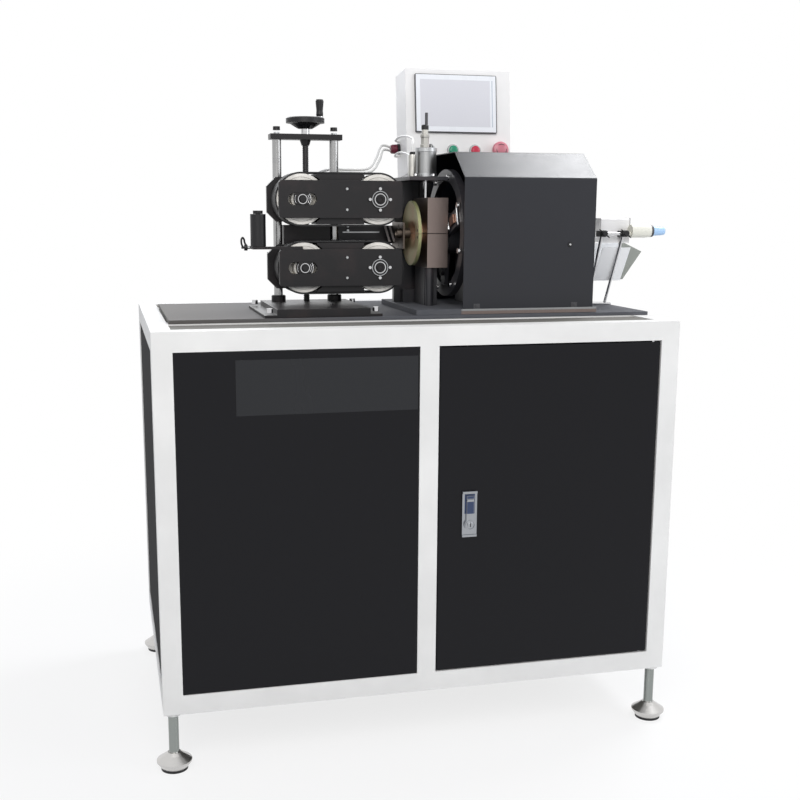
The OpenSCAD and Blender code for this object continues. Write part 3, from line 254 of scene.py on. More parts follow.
def turned_metal(tree, colour, roughness, centre, along, pitch, depth=1.0):
    """Rings left by the lathe round an axis through a centre."""
    flat = [0 if axis == along else 1 for axis in "XYZ"]
    radius = tree.distance(tree.place(centre, flat))
    ring = (radius * (2 * math.pi / (pitch * MM)) + 3 * tree.noise(60, 2)).wave()
    patch = tree.noise(26, 4)
    return (tree.blend(tree.ramp(patch, 0.3, 0.7), shade(colour, 0.8), shade(colour, 1.1)),
            roughness * (0.8 + 0.25 * ring + 0.3 * patch),
            tree.bump(ring, 0.15 * depth, 0.0003))


def funnel_metal(tree, centre, radius):
    """Turned dish: brown-red round the tube, olive further out, and a painted highlight in yellow-green at
    the rim.
    """
    rings = 60
    out = tree.distance(tree.place(centre, (0, 1, 1))) / (radius * MM)
    stain = tree.ramp(tree.noise(24, 4), 0.35, 0.7)
    dish = tree.blend(stain, (0.48, 0.43, 0.24), (0.56, 0.43, 0.27))
    heart = tree.blend(tree.ramp(out + 0.25 * stain, 0.35, 0.62), (0.50, 0.29, 0.18), dish)
    ring = (out * (2 * math.pi * rings)).wave()
    # The yellow-green band at the rim is a painted highlight.
    return (tree.blend(tree.ramp(out, 0.945, 0.98), heart, (0.34, 0.34, 0.17)),
            0.34 + 0.12 * ring + 0.1 * stain,
            tree.bump(ring, 0.12, 0.0003))


def ground_plate(tree):
    """Ground steel with a painted reflection: warm grey at the left, darker and cooler towards the right."""
    scratch = tree.noise(1400, 3, stretch=(0.03, 1, 1))
    warm, cool, bright = (0.10, 0.092, 0.084), (0.088, 0.092, 0.106), (0.16, 0.16, 0.165)
    # Painted reflection: the change from warm grey to a cooler, darker grey stands for what the polished
    # plate mirrors.
    reflection_tone = tree.blend(tree.ramp(tree.part("X"), -0.5, 0.0), warm, cool)
    return (tree.blend(tree.ramp(scratch, 0.2, 1.2), reflection_tone, bright),
            0.5 + 0.2 * scratch,
            tree.bump(scratch, 0.12, 0.0004))


def stud_metal(tree):
    """Zinced thread above, brighter turned cup below."""
    cup, thread = (0.60, 0.59, 0.58), (0.28, 0.30, 0.29)
    return (tree.blend(tree.ramp(tree.part("Z"), 0.036, 0.04), cup, thread),
            0.16 + 0.16 * tree.noise(38, 4),
            tree.bump(tree.noise(260, 2), 0.03, 0.0004))


def chute_sheet(tree, fin):
    """White sheet in front, with painted shade in grey-green on the far fin."""
    scratch = tree.noise(1200, 3, stretch=(0.05, 1, 1))
    # Painted shade: the far fin is coloured grey-green because it stands in shade.
    far = tree.ramp(tree.part("Y", fin), 0.055, 0.066) * tree.ramp(tree.part("X", fin), -0.002, 0.002)
    return (tree.blend(far, (0.95, 0.955, 0.955), (0.33, 0.345, 0.31)),
            0.4 + 0.1 * scratch,
            tree.bump(scratch, 0.1, 0.0004))


def polished(tree, colour, roughness):
    """Polished or chromed metal with faint smudges."""
    smudge = tree.noise(38, 4)
    return (tree.blend(smudge, shade(colour, 0.9), shade(colour, 1.05)),
            roughness * (0.5 + smudge),
            tree.bump(tree.noise(260, 2), 0.03, 0.0004))


def black_finish(tree, colour, roughness):
    """Blackened machined steel: dark oxide with rubbed, slightly brown patches."""
    rubbed = tree.ramp(tree.noise(16, 5), 0.45, 0.8)
    grain = tree.noise(1100, 3, stretch=(0.08, 1, 1))
    brown = [c * amount for c, amount in zip(colour, (2.2, 1.75, 1.6))]
    return (tree.blend(rubbed, colour, brown),
            roughness * (0.8 + 0.4 * grain) + 0.06 * rubbed,
            tree.bump(grain, 0.08, 0.0004))


def moulded(tree, colour, roughness, grain=0.5):
    """Moulded plastic with a fine spark texture."""
    spark = tree.noise(2200, 2)
    return (tree.blend(tree.noise(14, 2), shade(colour, 0.92), shade(colour, 1.05)),
            roughness * (0.85 + 0.3 * spark),
            tree.bump(spark, 0.1 * grain, 0.0003))


def rubber(tree, colour, roughness):
    """Rubber with cross ribs too fine to model and dust in them."""
    weave = tree.noise(700, 2, stretch=(1, 0.2, 1))
    dust = tree.ramp(tree.noise(45, 5), 0.5, 0.85)
    return (tree.blend(dust, colour, shade(colour, 2.4)),
            roughness * (0.85 + 0.3 * weave),
            tree.bump(weave, 0.25, 0.0005))


drive_centre = middle("upper_drive_pulley")
tube_centre = middle("spindle_housing")
tube_centre.y = middle("lower_funnel").y
tube_centre.z = (span("lower_die")[1].z + span("upper_die")[0].z) / 2

WHITE = material("white_powder", powder_coat, (0.76, 0.755, 0.735), 0.5, specular=0.3)
BOX_WHITE = material("box_powder", powder_coat, (0.91, 0.90, 0.885), 0.42, 0.6, specular=0.35)
PANEL_BLACK = material("gloss_black", gloss_sheet, (0.0042, 0.0042, 0.006), 0.2, 0.06, 0.75, specular=0.2)
COVER_BLACK = material("cover_black", powder_coat, (0.0085, 0.0095, 0.0145), 0.3, specular=0.45)
DECK = material("deck_grey", powder_coat, (0.19, 0.185, 0.17), 0.75, specular=0.1)
PLATE = material("ground_plate", ground_plate, metallic=0.15, specular=0.12)
CHROME = material("bright_steel", polished, (0.60, 0.60, 0.61), 0.14, metallic=1)
ZINC = material("zinc", polished, (0.45, 0.46, 0.47), 0.32, metallic=1)
POST = material("ground_post", polished, (0.38, 0.38, 0.38), 0.2, metallic=1)
STUD = material("stud_steel", stud_metal, metallic=1)
LOCK = material("lock_chrome", polished, (0.36, 0.375, 0.40), 0.18, metallic=1)
OXIDE = material("black_oxide", black_finish, (0.0105, 0.0098, 0.011), 0.38, specular=0.3)
# Painted light: the same black oxide in a lighter colour, for the clamp frame, spindle housing and cutter
# ring, which stand in shade.
OXIDE_PAINTED_LIGHTER = material("oxide_painted_lighter", black_finish, (0.026, 0.026, 0.03), 0.34, specular=0.4)
MOTOR = material("motor_black", powder_coat, (0.016, 0.016, 0.018), 0.45, 1.6)
CREAM = material("cream_nylon", turned_metal, (0.86, 0.83, 0.77), 0.42, drive_centre, "Y", 1.6, 1.2)
RUBBER = material("belt_rubber", rubber, (0.012, 0.012, 0.013), 0.55, specular=0.35)
BLACK_PLASTIC = material("black_plastic", moulded, (0.008, 0.008, 0.0095), 0.4, specular=0.35)
DIE = material("die_aluminium", brushed_metal, (0.235, 0.19, 0.175), 0.34, "Z", 1.2, metallic=1)
FUNNEL = material("olive_funnel", funnel_metal, tube_centre, 71, metallic=0.35)
DARK_GREY = material("dark_grey_plastic", moulded, (0.05, 0.05, 0.055), 0.45)
PANEL_FRONT = material("panel_front", gloss_sheet, (0.90, 0.92, 0.95), 0.3, specular=0.4)
SCREEN_LIGHT = material("screen_margin", gloss_sheet, (0.55, 0.60, 0.66), 0.3, specular=0.4)
PLUG_RED = material("plug_red", moulded, (0.13, 0.012, 0.03), 0.3)
VALVE = material("valve_nickel", turned_metal, (0.52, 0.51, 0.48), 0.3, middle("air_cylinder"), "Z", 1.2,
                 metallic=1)
COPPER = material("copper_brown", brushed_metal, (0.17, 0.095, 0.07), 0.38, "Y", metallic=1)
NOZZLE = material("dull_nozzle", brushed_metal, (0.115, 0.095, 0.08), 0.42, "Z", metallic=1)
BLUE = material("blue_plastic", moulded, (0.40, 0.60, 0.86), 0.3)
# Painted shade for the grooves turned in the pulleys' faces.
PULLEY_GROOVE_SHADE = material("pulley_groove_shade", moulded, (0.42, 0.40, 0.36), 0.5)
NAVY = material("navy_gloss", gloss_sheet, (0.012, 0.03, 0.09), 0.18, specular=0.6)
DARK_PLATE = material("dark_plate", gloss_sheet, (0.0085, 0.0095, 0.012), 0.26, specular=0.36)
STRIP = material("pale_strip", moulded, (0.50, 0.45, 0.43), 0.4)
ANODISED = material("anodised", brushed_metal, (0.33, 0.335, 0.34), 0.36, "Z", 0.5, metallic=1)
GREY_PLASTIC = material("grey_plastic", moulded, (0.36, 0.36, 0.36), 0.45)
DEVICE = material("device_grey", moulded, (0.55, 0.56, 0.57), 0.5)
SCREEN = material("screen", gloss_sheet, (0.74, 0.74, 0.78), 0.14, specular=0.5)
GREEN = material("green_lens", moulded, (0.01, 0.27, 0.15), 0.2, 0.1)
RED = material("red_lens", moulded, (0.55, 0.02, 0.06), 0.22, 0.1)
STOP_RED = material("stop_red", moulded, (0.62, 0.20, 0.25), 0.3, 0.3)
CABLE = material("white_sheath", moulded, (0.78, 0.78, 0.76), 0.42)
CHUTE = material("chute_sheet", chute_sheet, (span("outlet_chute")[1].x - 62, tube_centre.y, 0),
                 specular=0.35)
IVORY = material("ivory_plastic", moulded, (0.80, 0.79, 0.70), 0.38)

NODE_FINISH = {
    WHITE: ["frame"],
    PANEL_BLACK: ["outer_panels", "door_panel"],
    DECK: ["sheet_decks"],
    DEVICE: ["electric_plate"],
    PLATE: ["base_plate", "cutter_base"],
    CHROME: ["hinge_pins", "piston_rod", "blade_slide"],
    LOCK: ["lock_body", "lock_handle"],
    OXIDE: [
        "feeder_base", "crossbar", "cap_screws", "leadscrew", "upper_carriage", "upper_back_plate",
        "upper_front_bar", "lower_block", "lower_back_plate", "lower_front_bar", "guide_bracket"],
    OXIDE_PAINTED_LIGHTER: ["clamp_frame", "spindle_housing", "cutter_ring"],
    MOTOR: ["upper_motor", "lower_motor", "cutter_motor"],
    BLACK_PLASTIC: ["handwheel", "crank_grip", "guide_roller", "guide_lever", "selector"],
    RUBBER: ["foot_pads", "upper_belt", "lower_belt"],
    CREAM: ["upper_drive_pulley", "upper_idler_pulley", "lower_drive_pulley", "lower_idler_pulley"],
    DIE: ["lower_die", "upper_die"],
    FUNNEL: ["lower_funnel", "upper_funnel"],
    NOZZLE: ["infeed_nozzle"],
    CHUTE: ["outlet_chute"],
    POST: ["guide_posts"],
    STUD: ["foot_studs"],
    ANODISED: ["air_cylinder"],
    GREY_PLASTIC: ["air_fittings"],
    BOX_WHITE: ["control_box"],
    SCREEN: ["touch_panel"],
    GREEN: ["green_button"],
    RED: ["red_button"],
    STOP_RED: ["estop_button"],
    CABLE: ["feed_cables"],
}

# Width of the rounded edge, in millimetres, and the nodes that get it
SOFT_EDGES = {
    2.5: ["frame"],
    1.2: ["door_panel", "spindle_housing"],
    1.0: ["feeder_base", "crossbar"],
    0.9: ["upper_front_bar", "lower_front_bar"],
    0.8: [
        "base_plate", "upper_carriage", "lower_block", "upper_back_plate", "lower_back_plate", "clamp_frame",
        "cutter_ring"],
    0.7: ["lower_die", "upper_die", "cutter_base", "control_box"],
    0.6: ["outer_panels", "sheet_decks"],
    0.5: ["guide_bracket", "lower_funnel", "upper_funnel", "outlet_chute"],
    0.4: ["infeed_nozzle"],
}

body_of = {node: made["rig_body"] for node, made in frame["nodes"].items()}


def finish_nodes():
    """Every model node gets its finish."""
    for finish, nodes in NODE_FINISH.items():
        for node in nodes:
            data = frame["nodes"][node].data
            data.materials.clear()
            data.materials.append(finish)


def bake(made):
    """The object's modifiers, applied to its mesh."""
    mesh = bpy.data.meshes.new_from_object(made.evaluated_get(bpy.context.evaluated_depsgraph_get()))
    made.modifiers.clear()
    made.data = mesh


def smooth(made, angle=32):
    """Smooth shading in which a large flat face keeps its own direction beside a narrow bevel."""
    made.data.polygons.foreach_set("use_smooth", [True] * len(made.data.polygons))
    made.data.set_sharp_from_angle(angle=math.radians(angle))
    weighted = made.modifiers.new("weighted", "WEIGHTED_NORMAL")
    weighted.keep_sharp = True
    weighted.weight = 100
    bake(made)


def meshed(shape, name, finish):
    """The shape as an object of the scene."""
    mesh = bpy.data.meshes.new(name)
    shape.to_mesh(mesh)
    shape.free()
    mesh.materials.append(finish)
    return linked(name, mesh)


def riding(made, body, replaces):
    """The object moves with a body and stands for the nodes that it replaces."""
    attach(made, body)
    if replaces:
        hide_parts(*replaces)


def softened(node, width):
    """A copy of a node with its sharp edges rounded, shown in the node's place."""
    weld, flat, sharp = 2e-6, math.radians(0.6), math.radians(40)
    source = frame["nodes"][node].data
    shape = bmesh.new()
    shape.from_mesh(source)
    bmesh.ops.remove_doubles(shape, verts=shape.verts, dist=weld)
    bmesh.ops.dissolve_limit(
        shape, angle_limit=flat, verts=shape.verts, edges=shape.edges, use_dissolve_boundaries=False)
    made = meshed(shape, node + "_soft", source.materials[0])
    bevel = made.modifiers.new("edge", "BEVEL")
    bevel.width = width * MM
    bevel.segments = 2
    bevel.limit_method = "ANGLE"
    bevel.angle_limit = sharp
    bevel.use_clamp_overlap = True
    bevel.miter_outer = "MITER_ARC"
    bake(made)
    smooth(made)
    riding(made, body_of[node], [node])


def oriented(u, v, h, along, at):
    """A point from two across values and one along an axis, moved by at."""
    point = {"X": (h, u, v), "Y": (u, h, v), "Z": (u, v, h)}[along]
    return Vector(point) + Vector(at)


def circle(steps):
    """Cosine and sine of evenly spaced angles."""
    angles = [2 * math.pi * i / steps for i in range(steps)]
    return [(math.cos(a), math.sin(a)) for a in angles]


def smooth_line(points):
    """Catmull-Rom points through the given ones."""
    line, steps = [], 8
    for a, b, c, d in zip(points[:1] + points, points, points[1:], points[2:] + points[-1:]):
        for t in [i / steps for i in range(steps)]:
            line.append((2 * b + (c - a) * t + (2 * a - 5 * b + 4 * c - d) * t * t
                         + (3 * b - a - 3 * c + d) * t ** 3) / 2)
    return line + [points[-1]]


class Solid:
    """Closed shapes in millimetres, gathered into one piece."""

    def __init__(self):
        self.shape = bmesh.new()

    def close(self, new, bevel):
        """Faces turned outwards and sharp edges bevelled, on the shape with the new corners."""
        faces = list({face for vert in new for face in vert.link_faces})
        bmesh.ops.recalc_face_normals(self.shape, faces=faces)
        if bevel:
            sharp_angle = 0.6
            edges = {edge for vert in new for edge in vert.link_edges if edge.is_manifold}
            bmesh.ops.bevel(
                self.shape, geom=[edge for edge in edges if edge.calc_face_angle(0) > sharp_angle],
                offset=bevel, segments=2, profile=0.5, affect="EDGES", clamp_overlap=True)
        return self

    def skin(self, rings, bevel=0, capped=True, looped=False):
        """Faces from each ring of points to the next. A ring may be a single point."""
        rings = [[self.shape.verts.new(point) for point in ring] for ring in rings]
        for low, high in zip(rings, rings[1:] + rings[:1] if looped else rings[1:]):
            count = max(len(low), len(high))
            for i in range(count if count > 1 else 0):
                j = (i + 1) % count
                corners = (low[i % len(low)], low[j % len(low)], high[j % len(high)], high[i % len(high)])
                self.shape.faces.new(tuple(dict.fromkeys(corners)))
        if capped:
            self.shape.faces.new(rings[0][::-1])
            self.shape.faces.new(rings[-1])
        return self.close([vert for ring in rings for vert in ring], bevel)

    def block(self, low, high, bevel=0.0):
        """A box between two corners."""
        corners = [self.shape.verts.new((x, y, z)) for x in (low[0], high[0]) for y in (low[1], high[1])
                   for z in (low[2], high[2])]
        for loop in ((0, 1, 3, 2), (4, 6, 7, 5), (0, 4, 5, 1), (2, 3, 7, 6), (0, 2, 6, 4), (1, 5, 7, 3)):
            self.shape.faces.new([corners[i] for i in loop])
        return self.close(corners, bevel)

    def turned(self, profile, at, along, steps=48, bevel=0.0):
        """profile is (radius, height) points from the axis round to the axis, or a closed ring off it."""
        rings = [[
            oriented(radius * c, radius * s, height, along, at) for c, s in circle(steps if radius else 1)]
            for radius, height in profile]
        return self.skin(rings, bevel, capped=False, looped=profile[0][0] > 0 and profile[-1][0] > 0)

    def plate(self, outline, start, end, along, bevel=0.0):
        """A flat outline in the two other axes, from start to end along one."""
        rings = [[oriented(u, v, h, along, (0, 0, 0)) for u, v in outline] for h in (start, end)]
        return self.skin(rings, bevel)

    def rod(self, start, end, radius):
        """A straight round bar between two points."""
        start, end, steps = Vector(start), Vector(end), 24
        turn = (end - start).to_track_quat("Z", "Y")
        return self.skin([[point + turn @ Vector((radius * c, radius * s, 0)) for c, s in circle(steps)]
                          for point in (start, end)])

    def hose(self, points, radius, steps=12):
        """A round cable along a smooth curve through points."""
        line = smooth_line([Vector(p) for p in points])
        rings, side = [], Vector((0.31, 0.17, 0.93))
        for before, point, after in zip(line[:1] + line, line, line[1:] + line[-1:]):
            run = (after - before).normalized()
            side = (side - run * side.dot(run)).normalized()
            up = run.cross(side)
            rings.append([point + radius * (c * side + s * up) for c, s in circle(steps)])
        return self.skin(rings)

    def moved(self, matrix):
        """All that is in the piece so far, turned and moved."""
        bmesh.ops.transform(self.shape, matrix=matrix, verts=self.shape.verts)
        return self

    def done(self, name, body, finish, replaces=(), angle=32):
        """The piece, riding on a body."""
        bmesh.ops.translate(self.shape, vec=to_model, verts=self.shape.verts)
        bmesh.ops.scale(self.shape, vec=(MM, MM, MM), verts=self.shape.verts)
        made = meshed(self.shape, name, finish)
        smooth(made, angle)
        riding(made, body, replaces)


# Turns in degrees that point the copies' own axis one way
UPRIGHT, TO_FRONT, TO_BACK = (0, 0, 0), (90, 0, 0), (-90, 0, 0)
TO_LEFT, TO_RIGHT = (0, -90, 0), (0, 90, 0)


class Repeat:
    """A Geometry Nodes tree that copies one shape to many places, each with its own turn."""

    def __init__(self, name, sizes, shape):
        """shape(tree, given) returns the geometry of one copy, and given holds the named sizes."""
        self.group = bpy.data.node_groups.new(name, "GeometryNodeTree")
        sockets = self.group.interface
        sockets.new_socket("Places", in_out="INPUT", socket_type="NodeSocketGeometry")
        for label, value in sizes.items():
            kind = "NodeSocketInt" if isinstance(value, int) else "NodeSocketFloat"
            sockets.new_socket(label, in_out="INPUT", socket_type=kind).default_value = value
        sockets.new_socket("Finish", in_out="INPUT", socket_type="NodeSocketMaterial")
        sockets.new_socket("Piece", in_out="OUTPUT", socket_type="NodeSocketGeometry")
        tree = Tree(self.group)
        given = tree.node("NodeGroupInput", {}, {})
        turn = tree.node("GeometryNodeInputNamedAttribute", {"data_type": "FLOAT_VECTOR"}, {"Name": "turn"})
        copies = tree.node("GeometryNodeInstanceOnPoints", {}, {
            "Points": given["Places"], "Instance": shape(tree, given),
            "Rotation": tree.node("FunctionNodeEulerToRotation", {}, {"Euler": turn})})
        real = tree.node("GeometryNodeRealizeInstances", {}, {"Geometry": copies})
        coated = tree.node("GeometryNodeSetMaterial", {}, {"Geometry": real, "Material": given["Finish"]})
        tree.node("NodeGroupOutput", {}, {"Piece": coated})
        inputs = [item for item in sockets.items_tree if item.in_out == "INPUT"]
        self.identifier = {item.name: item.identifier for item in inputs}

    def run(self, name, body, finish, places, turn=UPRIGHT, replaces=(), **sizes):
        """The copies at places, turned by angles in degrees, as one piece that rides on a body."""
        points = bpy.data.meshes.new(name)
        points.from_pydata([(Vector(place) + to_model) * MM for place in places], [], [])
        turns = points.attributes.new("turn", "FLOAT_VECTOR", "POINT")
        angles = [math.radians(a) for a in turn]
        turns.data.foreach_set("vector", angles * len(places))
        made = linked(name, points)
        copies = made.modifiers.new("copies", "NODES")
        copies.node_group = self.group
        for label, value in sizes.items():
            copies[self.identifier[label]] = value
        copies[self.identifier["Finish"]] = finish
        bake(made)
        smooth(made)
        riding(made, body, replaces)


def raised(tree, shape, height, share=0.5):
    """The shape moved along its own axis by a share of a height. Half its own lets it stand on its place."""
    lift = tree.vector(Z=height * (MM * share))
    return tree.node("GeometryNodeTransform", {}, {"Geometry": shape["Mesh"], "Translation": lift})


def in_row(tree, given, axis, shape):
    """Copies of the shape at even steps along an axis."""
    step = tree.vector(**{axis: given["Pitch"] * MM})
    line = tree.node("GeometryNodeMeshLine", {}, {"Count": given["Count"], "Offset": step})
    copies = tree.node("GeometryNodeInstanceOnPoints", {}, {"Points": line["Mesh"], "Instance": shape})
    return copies["Instances"]


def screw_shape(tree, given):
    """A screw head with a hexagon socket."""
    height = given["Height"]
    head = tree.node("GeometryNodeMeshCone", {}, {
        "Vertices": 28, "Radius Bottom": given["Radius"] * MM, "Radius Top": given["Top"] * MM,
        "Depth": height * MM})
    socket = tree.node("GeometryNodeMeshCylinder", {}, {
        "Vertices": 6, "Radius": given["Socket"] * MM, "Depth": height * (MM * 0.7)})
    cut = tree.node("GeometryNodeMeshBoolean", {"operation": "DIFFERENCE"}, {
        "Mesh 1": raised(tree, head, height), "Mesh 2": raised(tree, socket, height, 0.85)})
    return cut["Mesh"]


def ring_shape(tree, given):
    """A row of discs along one axis: a thread, ribs or cooling fins."""
    fin = tree.node("GeometryNodeMeshCone", {}, {
        "Vertices": 32, "Side Segments": 1, "Radius Bottom": given["Radius"] * MM,
        "Radius Top": given["Top"] * MM, "Depth": given["Thickness"] * MM})
    return in_row(tree, given, "Z", raised(tree, fin, given["Thickness"]))


def slat_shape(tree, given):
    """A row of bars side by side: duct teeth, terminals or vents."""
    size = tree.vector(X=given["Width"] * MM, Y=given["Depth"] * MM, Z=given["Height"] * MM)
    bar = tree.node("GeometryNodeMeshCube", {}, {"Size": size})
    return in_row(tree, given, "X", raised(tree, bar, given["Height"]))


SCREWS = Repeat("screw_heads", {"Radius": 5.0, "Top": 4.4, "Height": 4.0, "Socket": 2.5}, screw_shape)
RINGS = Repeat("rings", {"Radius": 10.0, "Top": 9.0, "Thickness": 1.0, "Pitch": 2.5, "Count": 10}, ring_shape)
SLATS = Repeat("slats", {"Width": 2.0, "Depth": 4.0, "Height": 20.0, "Pitch": 6.0, "Count": 10}, slat_shape)


def seen_directly(tree):
    """1 for camera, glossy and transmission rays."""
    path = tree.node("ShaderNodeLightPath", {}, {})
    total = path["Is Camera Ray"] + path["Is Glossy Ray"] + path["Is Transmission Ray"]
    return total.clamp(0, 1)


def soft_lamp(name, place, size, power, colour):
    data = bpy.data.lights.new(name, "AREA")
    data.size = size
    data.energy = power
    data.color = colour
    lamp = linked(name, data)
    lamp.location = place
    target = Vector((0, 0, 0.8))
    lamp.rotation_euler = (target - Vector(place)).to_track_quat("-Z", "Y").to_euler()


def set_surroundings():
    """White for the camera and in reflections, and dimmer and cooler as light."""
    world = bpy.data.worlds.new("surroundings")
    bpy.context.scene.world = world
    world.use_nodes = True
    world.node_tree.nodes.clear()
    tree = Tree(world.node_tree)
    dim = tree.node("ShaderNodeBackground", {}, {"Color": (0.86, 0.9, 1), "Strength": 0.45})
    white = tree.node("ShaderNodeBackground", {}, {"Color": (1, 1, 1), "Strength": 1.0})
    mixed = tree.node("ShaderNodeMixShader", {}, {0: seen_directly(tree), 1: dim, 2: white})
    tree.node("ShaderNodeOutputWorld", {}, {"Surface": mixed})


def set_floor():
    """Pale floor that keeps the machine's shadow and turns white further out."""
    finish = bpy.data.materials.new("pale_floor")
    finish.use_nodes = True
    finish.node_tree.nodes.clear()
    tree = Tree(finish.node_tree)
    matt = tree.node("ShaderNodeBsdfDiffuse", {}, {
        "Color": tree.blend(tree.noise(1.5, 2), (0.84, 0.84, 0.84), (0.88, 0.88, 0.88))})
    glow = tree.node("ShaderNodeEmission", {}, {"Color": (1, 1, 1), "Strength": 1.0})
    whiteness = 0.78 + 0.22 * tree.ramp(tree.distance(tree.place()), 0.75, 1.7)
    mixed = tree.node("ShaderNodeMixShader", {}, {0: seen_directly(tree) * whiteness, 1: matt, 2: glow})
    tree.node("ShaderNodeOutputMaterial", {}, {"Surface": mixed})
    sheet = bmesh.new()
    bmesh.ops.create_grid(sheet, x_segments=1, y_segments=1, size=40)
    floor = meshed(sheet, "floor", finish)


def set_stage():
    """Pale floor, white surroundings and soft lamps."""
    bpy.context.scene.view_settings.view_transform = "Standard"
    set_surroundings()
    set_floor()
    soft_lamp("key", (-1.0, -3.1, 3.0), 2.4, 80, (1, 0.98, 0.95))
    soft_lamp("fill", (3.2, -2.3, 2.3), 2.0, 37, (0.95, 0.97, 1))
    soft_lamp("back", (-0.6, 3.0, 2.6), 2.0, 34, (0.95, 0.97, 1))
    soft_lamp("overhead", (1.85, 0.75, 3.6), 1.3, 76, (0.97, 0.98, 1))


def disc(radius, low, high):
    """Profile of a turned solid cylinder."""
    return [(0, low), (radius, low), (radius, high), (0, high)]


def ring(inner, outer, low, high):
    """Profile of a turned tube."""
    return [(inner, low), (outer, low), (outer, high), (inner, high)]


def lathe(name, body, finish, at, along, *profiles, steps=48, replaces=()):
    """A piece turned from one or more profiles round one axis."""
    made = Solid()
    for profile in profiles:
        made.turned(profile, at, along, steps)
    made.done(name, body, finish, replaces)


def blocks(name, body, finish, bevel, *corners):
    """A piece of one or more boxes, each given by its two corners."""
    made = Solid()
    for low, high in corners:
        made.block(low, high, bevel)
    made.done(name, body, finish)


def screws(name, body, finish, places, turn, radius, top, height, socket, replaces=()):
    """Socket screws whose heads stand on the places."""
    sizes = {"Radius": radius, "Top": top, "Height": height, "Socket": socket}
    SCREWS.run(name, body, finish, places, turn, replaces, **sizes)


def arc(x, z, radius, start, end, y):
    """Points on a circle that faces the operator."""
    steps = 6
    angles = [math.radians(start + (end - start) * i / steps) for i in range(steps + 1)]
    return [(x + radius * math.cos(a), y, z + radius * math.sin(a)) for a in angles]


# Places that several sub-parts share
boss_y = span("upper_front_bar")[0].y
bar_y = boss_y + 3
post_y = middle("guide_posts").y
post_x = (span("guide_posts")[0].x + 10, span("guide_posts")[1].x - 10)
base_low, base_high = span("feeder_base")
cross_top = span("crossbar")[1].z
plate_top = span("base_plate")[1].z
half_depth = span("frame")[1].y
axis_y, tube_z = tube_centre.y, tube_centre.z
cover_low, cover_high = span("cover")
cutter_low, cutter_high = span("cutter_base")


def front_bearing(unit, body, turning, drive):
    """Seat, bearing ring and shaft end on the front bar, and the screws of the bar and of the back plate."""
    at = (drive.x, boss_y, drive.z)
    lathe(unit + "_seat_edge", body, ZINC, at, "Y", ring(16.7, 18.1, 0, -0.7), steps=64)
    lathe(unit + "_seat_plate", body, BLACK_PLASTIC, (drive.x, boss_y + 0.3, drive.z), "Y",
          disc(15.8, 0, -0.9), steps=8)
    lathe(unit + "_bearing_ring", body, CHROME, at, "Y",
          [(10.6, 0), (13.2, 0), (12.8, -1.6), (11.0, -1.6)], steps=64)
    lathe(unit + "_shaft_end", turning, OXIDE, at, "Y",
          [(0, 2), (7.6, 2), (7.6, -2.6), (7.0, -3.2), (4.6, -3.2), (4.0, -2.2), (0, -2.2)],
          ring(4.9, 6.3, -3, -3.7))
    reach = 22.5
    diamond = ((reach, 0), (0, reach), (-reach, 0), (0, -reach))
    screws(unit + "_bearing_screws", body, CHROME, [
        (drive.x + dx, bar_y, drive.z + dz) for dx, dz in diamond], TO_FRONT, 4.6, 3.3, 3.0, 1.9)
    screws(unit + "_support_screws", body, ZINC, [
        (drive.x - 73, bar_y + 1, drive.z + dz) for dz in (22, -22)], TO_FRONT, 3.4, 2.6, 2.0, 1.5)
    back_y, outer_dz = span(unit + "_back_plate")[1].y, 38 if unit == "upper" else -38
    screws(unit + "_back_screws", body, OXIDE, [
        (drive.x + dx, back_y, drive.z + dz) for dx, dz in ((-40, -38), (-40, 38), (-130, outer_dz))],
        TO_BACK, 5, 4.6, 5.0, 2.5)


def tensioner(unit, body, idler):
    """Bolt and washer in the front bar's slot, with bright chrome arcs beside them as painted highlights on
    the curved edges.
    """
    at = (idler.x, bar_y - 1, idler.z)
    lathe(unit + "_tension_bolt", body, OXIDE, at, "Y",
          [(0, 0), (7.4, 0), (7.4, -4.4), (6.8, -5), (0, -5)], steps=6)
    washer = Solid()
    washer.turned(ring(8.8, 10.4, 0, -1.2), at, "Y")
    # Painted highlights: short chrome arcs only where the curved edges catch the light.
    for radius, start, end, thick in ((13.6, -36, 36, 0.8), (17.6, -36, 36, 0.8), (16.6, 150, 210, 0.6)):
        washer.hose(arc(idler.x, idler.z, radius, start, end, bar_y - 1.1), thick)
    washer.done(unit + "_tension_washer_and_highlights", body, CHROME)


def pulley_groove_shade(unit, label, centre, rider):
    """Painted shade: a darker ring where a groove is turned in a pulley's face."""
    lathe(unit + "_" + label + "_groove_shade_ring", rider, PULLEY_GROOVE_SHADE,
          (centre.x, span(unit + "_belt")[0].y, centre.z), "Y", ring(46.2, 47.2, 0, -0.35), steps=96)


def geared_motor(unit, body, drive):
    """Fins, end cap with its slots, terminal box and gearbox screws of a feed motor."""
    low, high = span(unit + "_motor")
    gear_back = low.y + 30
    RINGS.run(unit + "_motor_fins", body, MOTOR, [(drive.x, gear_back + 12, drive.z)], TO_BACK,
              Radius=27.6, Top=27.2, Thickness=2.0, Pitch=5.0, Count=9)
    cap = Solid()
    cap.turned([(0, 0), (27.8, 0), (27.8, -12), (26.8, -13.2), (0, -13.2)], (drive.x, high.y, drive.z), "Y")
    cap.block((drive.x - 14, gear_back + 8, drive.z + 20), (drive.x + 14, gear_back + 44, drive.z + 34), 2)
    cap.done(unit + "_motor_cap", body, MOTOR)
    SLATS.run(unit + "_fan_slots", body, BLACK_PLASTIC, [
        (drive.x - 12, high.y - 0.1, drive.z + dz) for dz in (-11, 3)],
        Width=2.4, Depth=0.8, Height=9.0, Pitch=6.0, Count=5)
    screws(unit + "_gearbox_screws", body, CHROME, [
        (drive.x + dx, gear_back, drive.z + dz) for dx in (-24, 24) for dz in (-24, 24)],
        TO_BACK, 3.6, 3.2, 3.6, 1.8)


